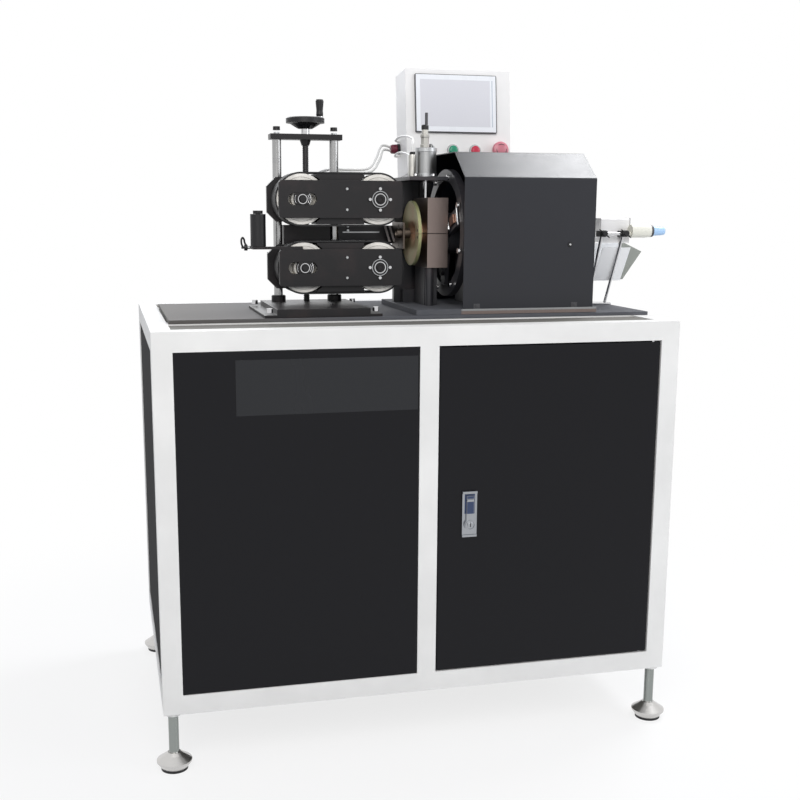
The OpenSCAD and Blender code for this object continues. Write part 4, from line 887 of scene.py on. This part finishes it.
def belt_feeder():
    for unit, body in (("upper", "upper_unit"), ("lower", "machine")):
        drive, idler = middle(unit + "_drive_pulley"), middle(unit + "_idler_pulley")
        front_bearing(unit, body, unit + "_drive", drive)
        tensioner(unit, body, idler)
        pulley_groove_shade(unit, "drive", drive, unit + "_drive")
        pulley_groove_shade(unit, "idler", idler, unit + "_idler")
        geared_motor(unit, body, drive)


def guide_post_trim():
    """Collars, scribed rings, spacers and screws of the two posts and their base."""
    collars, marks, spacers = Solid(), Solid(), Solid()
    for x in post_x:
        collars.turned([(10.1, 0), (16, 0), (16, 12), (14.5, 14), (10.1, 14)], (x, post_y, base_high.z), "Z")
        spacers.turned(disc(6.4, 0, 4), (x, post_y, cross_top), "Z")
    for x, z in ((post_x[0], 1238), (post_x[0], 1231), (post_x[1], 958)):
        marks.turned(ring(9.6, 10.02, 0, 1.6), (x, post_y, z), "Z", 96)
    collars.done("post_collars", "machine", OXIDE)
    marks.done("post_rings", "machine", GREY_PLASTIC)
    spacers.done("post_spacers", "machine", ZINC)
    screws("post_screws", "machine", OXIDE, [(x, post_y, cross_top + 4) for x in post_x], UPRIGHT,
           8.0, 7.6, 8.0, 3.6, ["cap_screws"])
    screws("base_screws", "machine", CHROME, [
        (x, y, base_high.z - 12) for x in (base_low.x + 12, base_high.x - 12)
        for y in (base_low.y + 14, base_high.y - 15)], UPRIGHT, 7.0, 6.6, 9.0, 3.4)


def lifting_screw():
    """Threaded screw under the handwheel, its bright sleeve and the wheel's trim."""
    low, high = span("leadscrew")
    x, pitch = middle("leadscrew").x, 4.0
    lathe("screw_core", "hand_screw", OXIDE, (x, post_y, 0), "Z", disc(6.1, low.z, high.z),
          steps=32, replaces=["leadscrew"])
    RINGS.run("screw_thread", "hand_screw", OXIDE, [(x, post_y, low.z + 2)], Radius=7.0, Top=6.6,
              Thickness=2.0, Pitch=pitch, Count=int((cross_top - low.z - 16) / pitch))
    wheel_z = span("handwheel")[0].z
    lathe("screw_sleeve", "hand_screw", CHROME, (x, post_y, cross_top + 0.3), "Z",
          ring(7.05, 9.4, 0, wheel_z - cross_top - 0.6))
    trim = Solid()
    trim.turned(ring(4.2, 8.4, 0, 2.2), (middle("crank_grip").x, post_y, span("crank_grip")[0].z - 2.6), "Z")
    trim.turned([(0, 0), (9, 0), (9, 1.6), (7.6, 2.4), (0, 2.4)], (x, post_y, wheel_z + 24), "Z")
    trim.done("wheel_trim", "hand_screw", CHROME)


def stay_behind_gap():
    """A painted highlight along the stay's edge, screws and tube strips that show through the gap between the
    belts.
    """
    stay_y = 28
    # Painted highlight: a thin bright strip along the stay's edge.
    blocks("stay_edge_highlight", "machine", ZINC, 0.3, (
        (post_x[1] + 22, stay_y - 1.2, 1077.5), (-14, stay_y, 1080.5)))
    screws("stay_screws", "machine", ZINC, [(-88, stay_y, z) for z in (1083, 1092.5)], TO_FRONT,
           3.4, 2.6, 2.4, 1.4)
    top, foot = 1094, 1058
    strips = Solid()
    for x in (-7, 4):
        strips.plate([(x - 2.6, top), (x + 2.6, top), (x + 13.6, foot), (x + 9, foot)], 2, 5, "Y", 0.5)
    strips.done("tube_strips", "machine", STRIP)


def inlet_lever():
    """Locking lever of the inlet guide: a slanted loop on a bright pin."""
    low = span("guide_lever")[0]
    pin = (low.x, low.y + 7, low.z + 7)
    loop = Solid()
    loop.hose([(low.x + x, low.y + 7, low.z + z) for x, z in (
        (12.4, 6), (6, 7.5), (2.4, 15), (2.2, 24), (5, 28), (8, 24), (9.4, 17), (13, 11))], 2.1)
    loop.turned(disc(6.6, 8, 15), pin, "X", 24, 0.8)
    loop.done("lever_loop", "inlet_lever", BLACK_PLASTIC, ["guide_lever"], angle=50)
    lathe("lever_pin", "inlet_lever", ZINC, pin, "X", disc(3.2, 14, 20), steps=24)


def foot_threads():
    low, high = span("foot_studs")
    inset, start = 36, 40
    RINGS.run("foot_threads", "machine", STUD, [
        (x, y, start) for x in (low.x + inset, high.x - inset) for y in (low.y + inset, high.y - inset)],
        Radius=10.45, Top=9.9, Thickness=1.5, Pitch=2.5, Count=31)


def door_lock():
    """Rim and window of the lock's plate, and the lever's faces, grip bar, cylinder and a black block as
    painted shade in the key slot.
    """
    low, high = span("lock_body")
    x, face = (low.x + high.x) / 2, low.y
    rim = Solid()
    for side in (low.x, high.x - 4):
        rim.block((side, face - 0.2, low.z), (side + 4, face, high.z), 0.08)
    rim.block((low.x, face - 2.4, low.z), (high.x, face, low.z + 5), 0.8)
    rim.block((low.x, face - 3.2, high.z - 5), (high.x, face, high.z), 0.8)
    rim.done("lock_rim", "door", LOCK)
    blocks("lock_pocket", "door", NAVY, 0.1, (
        (low.x + 5, face - 0.3, low.z + 50), (high.x - 5, face + 0.2, high.z - 6)))
    handle = span("lock_handle")[0]
    y, pivot_z = handle.y, handle.z + 12
    top = pivot_z + 62
    blocks("lock_lever_face", "lock", NAVY, 0.15, *(
        ((x - 7.4, y - 0.4, top - foot), (x + 7.4, y, top - head)) for foot, head in ((38, 12.5), (6, 0.6))))
    grip = Solid()
    grip.block((x - 7.6, y - 1.8, top - 11.5), (x + 7.6, y, top - 7), 0.9)
    grip.turned([(8.4, 0), (10.2, 0), (10.2, -1.4), (8.8, -1.8)], (x, y, pivot_z), "Y", 48)
    grip.turned([(0, 0), (6.2, 0), (6.2, -1.8), (5.2, -2.4), (0, -2.4)], (x, y, pivot_z), "Y", 40)
    grip.done("lock_cylinder", "lock", LOCK)
    # Painted shade: a black block where the key slot is.
    blocks("key_slot_shade", "lock", BLACK_PLASTIC, 0.1, (
        (x - 0.9, y - 2.7, pivot_z - 4), (x + 0.9, y - 2.2, pivot_z + 4)))


def electric_fronts():
    """Fronts, terminals and windows of the devices on the electric plate, its vents and cable ducts."""
    low, high = span("electric_plate")
    width, height = high.x - low.x, high.z - low.z
    left, rail_y = low.x + width * 0.15, high.y - 11
    drives_y, supply_y, relays_y = (rail_y - high.y * share for share in (0.45, 0.275, 0.21))
    panels, terminals, windows = Solid(), Solid(), Solid()
    for i in range(3):
        x, z = left + i * width * 0.14, low.z + height * 0.44
        end = x + width * 0.1
        panels.block((x + 3, drives_y - 1.5, z + 40), (end - 3, drives_y, z + height * 0.275 - 4), 0.6)
        windows.block((x + 10, drives_y - 2, z + 128), (end - 10, drives_y - 1, z + 148), 0.2)
        terminals.block((x + 5, drives_y - 3, z + 4), (end - 5, drives_y, z + 34), 0.6)
    for i in range(6):
        x, z = left + i * width * 0.083, low.z + height * 0.18
        end = x + width * 0.067
        panels.block((x + 2, relays_y - 1.5, z + 22), (end - 2, relays_y, z + 56), 0.5)
        terminals.block((x + 12, relays_y - 8, z + 32), (end - 12, relays_y - 1, z + 44), 1)
    panels.done("device_fronts", "machine", DEVICE)
    terminals.done("device_terminals", "machine", DARK_GREY)
    windows.done("device_windows", "machine", SCREEN)
    SLATS.run("supply_vents", "machine", DARK_GREY, [
        (left + 12, supply_y - 0.3, low.z + height * 0.79 + z) for z in (14, 40, 66)],
        Width=3.0, Depth=0.8, Height=18.0, Pitch=8.0, Count=18)
    SLATS.run("cable_ducts", "machine", GREY_PLASTIC, [
        (low.x + 40, high.y - 23, low.z + height * share) for share in (0.345, 0.73)],
        Width=4.6, Depth=40.0, Height=22.0, Pitch=7.0, Count=62)


def front_plate():
    """Plate on the left front panel."""
    back = 2.2 - half_depth
    blocks("front_plate", "machine", DARK_PLATE, 0.3, ((-391, back - 1, 732), (-24, back, 842)))


# Control box, in its own frame that leans back
BOX_LEAN = 6.5
box_low = span("control_box")[0]
box_corner = Vector((box_low.x, box_low.y, plate_top + 307))
box_frame = Matrix.Translation(box_corner) @ Matrix.Rotation(math.radians(-BOX_LEAN), 4, "X")
ROW = 56
CONTROLS = {"selector": 56, "green_button": 115, "red_button": 171, "estop_button": 230}


def in_box(solid):
    return solid.moved(box_frame)


def in_panel(name, finish, low, high, bevel):
    """A flat piece on the control box, between two corners in the box's frame."""
    in_box(Solid().block(low, high, bevel)).done(name, "machine", finish)


def touch_panel():
    """Casing, dark grey as painted shade on the panel's sides; front, screen and the pale strip beside it."""
    x, z, width, height, cut = 22.04, 97, 204, 137, 2
    right, top, face = x + width, z + height, -8
    # The casing's dark grey is painted shade: it shows as the panel's shaded sides round the pale front.
    casing = Solid()
    casing.plate([(x + cut, z), (right - cut, z), (right, z + cut), (right, top - cut), (right - cut, top),
                  (x + cut, top), (x, top - cut), (x, z + cut)], face + 1.2, 0, "Y", 0.5)
    in_box(casing).done("panel_shaded_casing", "machine", DARK_GREY, ["touch_panel"])
    in_panel("panel_front", PANEL_FRONT, (x + 1.8, face, z + 2), (right - 2.4, face + 1.4, top - 1.6), 0.5)
    in_panel("panel_screen", SCREEN, (x + 12, face - 0.15, z + 14), (right - 17, face + 0.5, top - 13), 0.1)
    in_panel("panel_strip", SCREEN_LIGHT,
             (right - 13, face - 0.1, z + 14), (right - 10.5, face + 0.5, top - 13), 0.1)


def switches():
    """Bezels, the selector with its line, two lenses and the stop head with its arrows."""
    bezels = Solid()
    for x in CONTROLS.values():
        bezels.turned([(11.1, 0), (14.6, 0), (14.6, -2.4), (13.6, -3.8), (11.1, -3.8)], (x, 0, ROW), "Y")
    in_box(bezels).done("button_bezels", "machine", ZINC)
    x = CONTROLS["selector"]
    knob = Solid()
    knob.turned([(0, 8), (10.8, 8), (10.8, -5), (10.2, -6.2), (0, -6.2)], (x, 0, ROW), "Y")
    knob.plate([(x + dx, ROW + dz) for dx, dz in (
        (-3.4, -10.5), (3.4, -10.5), (4.2, 0), (3, 11.5), (-3, 11.5), (-4.2, 0))], -17, -6, "Y", 1.2)
    in_box(knob).done("selector_knob", body_of["selector"], BLACK_PLASTIC, ["selector"])
    pointer = Solid().block((x - 0.8, -17.4, ROW + 3), (x + 0.8, -16.9, ROW + 10.5), 0.1)
    in_box(pointer).done("selector_line", body_of["selector"], CABLE)
    for name, finish in (("green_button", GREEN), ("red_button", RED)):
        lens = Solid()
        lens.turned([(0, 6), (10.9, 6), (10.9, -6.6), (9.9, -7.6), (9.9, -9.2), (9, -10.2), (6, -10.9),
                     (0, -11.2)], (CONTROLS[name], 0, ROW), "Y")
        in_box(lens).done(name + "_lens", body_of[name], finish, [name])
    x = CONTROLS["estop_button"]
    head, arrows = Solid(), Solid()
    head.turned([(0, 6), (10.9, 6), (10.9, -12), (18.6, -13.2), (20, -15), (20, -20), (18.6, -23.6),
                 (14, -26.2), (7, -27.3), (0, -27.6)], (x, 0, ROW), "Y")
    in_box(head).done("stop_head", body_of["estop_button"], STOP_RED, ["estop_button"])
    for k in range(3):
        a, radius = math.radians(90 + 120 * k), 12.5
        arrows.hose([(x + radius * math.cos(a + t), -27.1 + 0.3 * abs(t), ROW + radius * math.sin(a + t))
                     for t in (-0.62, -0.4, -0.2, 0, 0.2, 0.4, 0.62)], 0.7)
    in_box(arrows).done("stop_arrows", body_of["estop_button"], DARK_GREY)


def box_back():
    """Door of the box at the rear, with its screws and vents."""
    in_panel("box_door", BOX_WHITE, (4, 89.5, 4), (258, 90.6, 243), 0.4)
    screws("box_screws", "machine", ZINC, [
        box_frame @ Vector((x, 90.6, z)) for x in (14, 248) for z in (14, 233)],
        (-90 - BOX_LEAN, 0, 0), 4.0, 3.2, 2.2, 1.8)
    SLATS.run("box_vents", "machine", BLACK_PLASTIC, [box_frame @ Vector((80, 90.9, z)) for z in (150, 172)],
              (-BOX_LEAN, 0, 0), Width=3.0, Depth=0.8, Height=14.0, Pitch=8.0, Count=14)


LEAD_R = 3
AIR_R = 2.4
motor_end = span("lower_motor")[1].y
upper_z, lower_z = middle("upper_drive_pulley").z, middle("lower_drive_pulley").z
lead_end = box_corner + Vector((0, 75, 60))


def lead_points(k):
    """The route of one motor lead: up behind the upper unit and over to the box's side."""
    x = drive_centre.x
    return [
        (x - 10 + 20 * k, motor_end, lower_z), (x - 10 + 20 * k, motor_end + 20, lower_z + 3),
        (x - 28 + 8 * k, motor_end + 30, lower_z + 55), (x - 88 + 14 * k, motor_end + 30, upper_z - 1),
        (x - 98 + 14 * k, motor_end + 25, upper_z + 54 - 6 * k),
        (x - 68 + 10 * k, motor_end + 25, upper_z + 70 - 7 * k),
        (x - 18, motor_end + 25, upper_z + 70 - 7 * k),
        (x + 28 + 6 * k, motor_end + 35, upper_z + 74 - 7 * k),
        (lead_end.x - 72 + 8 * k, lead_end.y - 55, lead_end.z - 25 - 5 * k),
        (lead_end.x - 50 + 4 * k, lead_end.y - 20, lead_end.z + 6 - 10 * k),
        (lead_end.x - 22, lead_end.y, lead_end.z + 4 - 8 * k)]


def feed_leads():
    """The two leads and the plug that they share at the box's side."""
    leads = Solid()
    for k in (0, 1):
        leads.hose(lead_points(k), LEAD_R, steps=14)
    leads.done("feed_leads", "machine", CABLE, ["feed_cables"], angle=60)
    plug_centre = lead_end - Vector((11, 0, 0))
    lathe("lead_plug", "machine", PLUG_RED, plug_centre, "X",
          [(0, -11.5), (9, -11.5), (11, -9), (11.6, 3), (9.6, 5), (0, 5)], steps=24)
    lathe("plug_collar", "machine", BLACK_PLASTIC, plug_centre, "X", disc(12.4, 5, 10.6), steps=24)


def air_parts():
    """End caps of the cylinder, the valve and post beside it, and the two short air tubes."""
    low, high, at = *span("air_cylinder"), middle("air_cylinder")
    valve_x, top = at.x - 3, high.z
    caps = Solid()
    for z0, z1 in ((low.z, low.z + 9), (top - 9, top + 0.4)):
        caps.turned([(23.05, z0), (24.2, z0 + 0.8), (24.2, z1 - 0.8), (22.6, z1), (12, z1), (12, z1 - 3),
                     (22, z1 - 3)], (at.x, at.y, 0), "Z", 64)
    caps.done("cylinder_ends", "machine", ZINC)
    post = Vector((span("air_fittings")[0].x + 8.5, at.y - 10, low.z))
    valve, push_in = Solid(), Solid()
    valve.turned([(0, 0), (10.5, 0), (10.5, 7), (9.2, 8.4), (9.2, 22), (10.4, 23.4), (10.4, 28), (9, 30),
                  (0, 30)], (valve_x, at.y, top), "Z", 6)
    valve.turned(disc(7.4, 30, 39), (valve_x, at.y, top), "Z")
    valve.turned([(0, 0), (8.5, 0), (8.5, 46), (7.6, 48), (0, 48)], post, "Z")
    valve.done("flow_valve", "machine", VALVE, ["air_fittings"])
    push_in.turned([(0, 39), (7.2, 39), (8, 40), (8, 48), (6.8, 49.6), (0, 49.6)], (valve_x, at.y, top), "Z")
    push_in.turned([(0, 48), (6.2, 48), (6.2, 53), (5, 54), (0, 54)], post, "Z")
    push_in.done("push_in_ring", "machine", BLACK_PLASTIC)
    tubes = Solid()
    tubes.hose([lead_end + Vector((2, 4, 18)), lead_end + Vector((-10, 0, 20)), (73, 190, 1301),
                (73, 140, 1301), (67, 70, 1295), (54, -10, 1284), (42, -52, 1272),
                post + Vector((0, 0, 52))], AIR_R)
    tubes.hose([lead_end + Vector((2, -4, -16)), lead_end + Vector((-13, -8, -18)), (66, 180, 1263),
                (63, 120, 1262), (56, 40, 1254), (54, -10, 1240), (56, -36, 1226)], AIR_R)
    tubes.done("air_tubes", "machine", CABLE, angle=60)
    lathe("valve_stem", "machine", DARK_GREY, (valve_x + 3, at.y, top), "Z",
          [(0, 49), (3.4, 49), (3.2, 75.6), (0, 75.8)])
    screws("cylinder_screws", "machine", CHROME, [
        (at.x + dx, at.y + dy, low.z) for dx in (-30, 10.5) for dy in (-26, 26)], UPRIGHT, 4.4, 4.0, 4.4, 2.0)


def funnel_holes():
    """Black discs over the screw holes in the funnel's face, above and below the split, as painted shade in
    the holes.
    """
    for half, body, dz in (("lower", "machine", -7.5), ("upper", "clamp_head", 7.5)):
        low = span(half + "_funnel")[0]
        # Painted shade: a black disc in front of each hole.
        lathe(half + "_funnel_hole_shade", body, BLACK_PLASTIC, (low.x - 0.2, low.y + 10, tube_z + dz), "X",
              disc(2.9, 0, 0.6), steps=24)


def cutter_ring_parts():
    """Bolts round the ring, and the tool block and bright clip on its slide."""
    face_x, bolt_r, bolts, first, tilt = span("cutter_ring")[0].x + 5.3, 127, 8, 29, math.radians(20)
    angles = [math.radians(first + 360 / bolts * k) for k in range(bolts)]
    screws("ring_bolts", "cutter", CHROME, [
        (face_x, axis_y - bolt_r * math.cos(a), tube_z + bolt_r * math.sin(a)) for a in angles],
        TO_LEFT, 6.0, 5.4, 5.0, 2.6)
    slide_way = Vector((0, -math.cos(tilt), math.sin(tilt)))
    outward = Vector((-1, 0, 0))
    ring_frame = Matrix.Translation((face_x, axis_y, tube_z)) @ Matrix(
        (slide_way, outward.cross(slide_way), outward)).transposed().to_4x4()
    block = Solid().block((70, -10, 5.3), (98, 10, 9.4), 1.0)
    block.moved(ring_frame).done("tool_block", "blade_carriage", COPPER)
    clip = Solid().hose([(116 + y * y / 180, y, 5.6) for y in (-22, -15, -8, 0, 8, 15, 22)], 2.2)
    clip.moved(ring_frame).done("ring_clip", "cutter", ZINC)


def cover_section(inset, radius):
    """The cover's outline across the machine, drawn in by inset, with rounded bends."""
    wall_z = cover_low.z + 277 - inset * 0.3
    y0, y1 = cover_low.y + inset, cover_high.y - inset
    shoulder = 76 + inset * 0.35 - inset
    line = [Vector((y0, cover_low.z)), Vector((y0, wall_z)), Vector((y0 + shoulder, cover_high.z - inset)),
            Vector((y1 - shoulder, cover_high.z - inset)), Vector((y1, wall_z)), Vector((y1, cover_low.z))]
    outline = [line[0]]
    for before, corner, after in zip(line, line[1:], line[2:]):
        back, ahead = (before - corner).normalized(), (after - corner).normalized()
        half = back.angle(ahead) / 2
        centre = corner + (back + ahead).normalized() * radius / math.sin(half)
        reach = radius / math.tan(half)
        start, end = corner + back * reach - centre, corner + ahead * reach - centre
        outline += [centre + start.lerp(end, i / 5).normalized() * radius for i in range(6)]
    return outline + [line[-1]]


def cover():
    """One folded sheet and an end plate with the tube's hole, its screw, foot bolts and vents."""
    sheet, bend, hole_r, steps = 2.0, 5.0, 16.5, 24
    end_x = cover_high.x - sheet
    outer, inner = cover_section(0, bend), cover_section(sheet, bend - sheet)
    shell = Solid()
    shell.plate([tuple(q) for q in outer + inner[::-1]], cover_low.x, end_x, "X", 0.3)
    angles = [math.pi * i / steps for i in range(steps + 1)]
    hole = [Vector((axis_y - hole_r * math.sin(a), tube_z - hole_r * math.cos(a))) for a in angles]
    front = [q for q in outer if q.x < axis_y]
    half = [Vector((axis_y, cover_low.z))] + hole + [Vector((axis_y, cover_high.z))] + front[::-1]
    shell.plate([tuple(q) for q in half], end_x, cover_high.x, "X")
    shell.plate([(2 * axis_y - q.x, q.y) for q in half], end_x, cover_high.x, "X")
    shell.done("cover_shell", "machine", COVER_BLACK, ["cover"])
    x, z = cover_high.x - 58, 1056
    lathe("cover_screw", "machine", CHROME, (x, cover_low.y - 1, z), "Y",
          [(0, 0), (2.6, 0), (2.6, -1.4), (1.6, -2.4), (0, -2.4)])
    lathe("cover_screw_seat", "machine", BLACK_PLASTIC, (x, cover_low.y, z), "Y",
          [(0, 0), (6, 0), (5.4, -1.0), (0, -1.0)])
    foot_z = cutter_high.z
    bolts = Solid()
    for x in (147, 372):
        bolts.turned([(0, 0), (3.4, 0), (3.4, -1.4), (2.8, -2), (0, -2)],
                     (x, cover_low.y - 0.6, foot_z + 6), "Y", 6)
        bolts.block((x - 7, cover_low.y - 0.8, foot_z), (x + 7, cover_low.y, foot_z + 11), 0.3)
    bolts.done("cover_bolts", "machine", DARK_GREY)
    SLATS.run("cover_vents", "machine", BLACK_PLASTIC, [
        (cover_low.x + 90, cover_high.y + 0.2, z) for z in (1000, 1030, 1060)],
        Width=5.0, Depth=0.8, Height=18.0, Pitch=12.0, Count=12)


def cutter_base_edge():
    """A painted highlight along the front edge of the cutter's base, the ground band below it, and the fins
    of its motor.
    """
    left, y = cover_low.x - 4, cutter_low.y
    # Painted highlight: a bright strip along the base's front edge.
    blocks("plate_edge_highlight", "machine", ANODISED, 0.15, (
        (left, y - 0.3, cutter_high.z - 4), (cutter_high.x, y + 1.5, cutter_high.z + 0.2)))
    blocks("plate_band", "machine", DIE, 0.1, (
        (left, y - 0.25, cutter_low.z + 1), (cutter_high.x, y + 0.5, cutter_high.z - 4.2)))
    RINGS.run("cutter_motor_fins", "machine", MOTOR, [
        (span("cutter_motor")[0].x + 34, middle("cutter_motor").y, 990)],
        TO_RIGHT, Radius=36.6, Top=36.0, Thickness=2.4, Pitch=6.0, Count=13)


# Outlet: black clamps on bright rods, white hood, cream barrel with a blue end
out_low = span("outlet_stand")[0]
out_y, out_z = out_low.y + 8, plate_top + 162
clamp_x = (out_low.x + 8, out_low.x + 61)


def outlet_stand():
    """Two leaning rods on a foot, the cross rod and the clamps."""
    foot_x = (out_low.x + 23, out_low.x + 67)
    rods = Solid()
    for x, foot in zip(clamp_x, foot_x):
        rods.rod((x, out_y, out_z + 12), (foot, out_y + 100, plate_top + 4), 3.5)
    rods.rod((clamp_x[0], out_y, out_z + 7), (clamp_x[1], out_y, out_z + 7), 3.5)
    rods.block((out_low.x + 13, out_y + 80, plate_top), (out_low.x + 75, out_y + 120, plate_top + 5), 0.8)
    rods.done("outlet_rods", "machine", CHROME, ["outlet_stand"])
    z = out_z + 8
    clamps = Solid()
    for x in clamp_x:
        clamps.block((x - 8, out_y - 8, out_z), (x + 8, out_y + 17, out_z + 14), 1.5)
        for angle, reach in ((35, 15), (215, 13)):
            c, d = math.cos(math.radians(angle)), math.sin(math.radians(angle))
            clamps.plate([(x - 5 * d, z + 5 * c), (x + 5 * d, z - 5 * c),
                          (x + reach * c + 3 * d, z - reach * d - 3 * c),
                          (x + reach * c - 3 * d, z - reach * d + 3 * c)], out_y - 15, out_y - 8, "Y", 1.5)
        clamps.turned([(0, 0), (7, 0), (7, -9), (5.4, -10.4), (0, -10.4)], (x, out_y - 7.5, z), "Y", 32)
    clamps.done("outlet_clamps", "machine", BLACK_PLASTIC)


def outlet_hood():
    """A folded sheet, open below, with a dark edge at its far end."""
    x0, x1 = clamp_x[0] + 4, clamp_x[0] + 76
    y0, y1, z0, z1 = out_y + 17, axis_y + 30, out_z - 14, tube_z + 34
    sheet, bend = 2, 2.4
    hood = Solid()
    hood.plate([(y0, z0), (y0 + sheet, z0), (y0 + sheet, z1 - 3), (y0 + 3, z1 - sheet),
                (y1 - 3, z1 - sheet), (y1 - sheet, z1 - 3), (y1 - sheet, z0), (y1, z0), (y1, z1 - bend),
                (y1 - bend, z1), (y0 + bend, z1), (y0, z1 - bend)], x0, x1, "X", 0.2)
    hood.done("outlet_hood", "machine", BOX_WHITE, ["outlet_sensor"])
    blocks("hood_edge", "machine", DARK_GREY, 0.2, (
        (x1 - 0.6, y0 - 0.7, tube_z + 12), (x1 + 0.5, (y0 + y1) / 2, z1 + 0.3)))


def outlet_sensor():
    """Cream barrel, a dark band painted as the shadow at the root of its blue end, and the blue end."""
    x = clamp_x[1] + 17
    at = (x, out_y + 2, tube_z + 5)
    barrel = Solid()
    barrel.rod((clamp_x[1] + 8, out_y, out_z + 7), (x + 2, out_y, out_z + 7), 5)
    barrel.turned([(0, 0), (14.4, 0), (15, 1.2), (15, 36), (13.4, 52), (12.6, 54), (0, 54)], at, "X")
    barrel.done("sensor_barrel", "machine", IVORY)
    lathe("sensor_end", "machine", BLUE, at, "X",
          [(0, 53), (12.2, 53), (11.2, 58), (10.6, 62), (9.6, 80), (8.4, 84.8), (0, 84.8)])
    # Painted shadow: a dark grey ring at the root of the blue end.
    lathe("sensor_root_shadow", "machine", DARK_GREY, at, "X",
          [(12.4, 49), (13.9, 49), (13.3, 54.5), (12.0, 54.5)])


set_camera()
set_stage()
finish_nodes()
for width, nodes in SOFT_EDGES.items():
    for node in nodes:
        softened(node, width)
for make in (
        belt_feeder, guide_post_trim, lifting_screw, stay_behind_gap, inlet_lever, foot_threads, door_lock,
        electric_fronts, front_plate, touch_panel, switches, box_back, feed_leads, air_parts, funnel_holes,
        cutter_ring_parts, cover, cutter_base_edge, outlet_stand, outlet_hood, outlet_sensor):
    make()
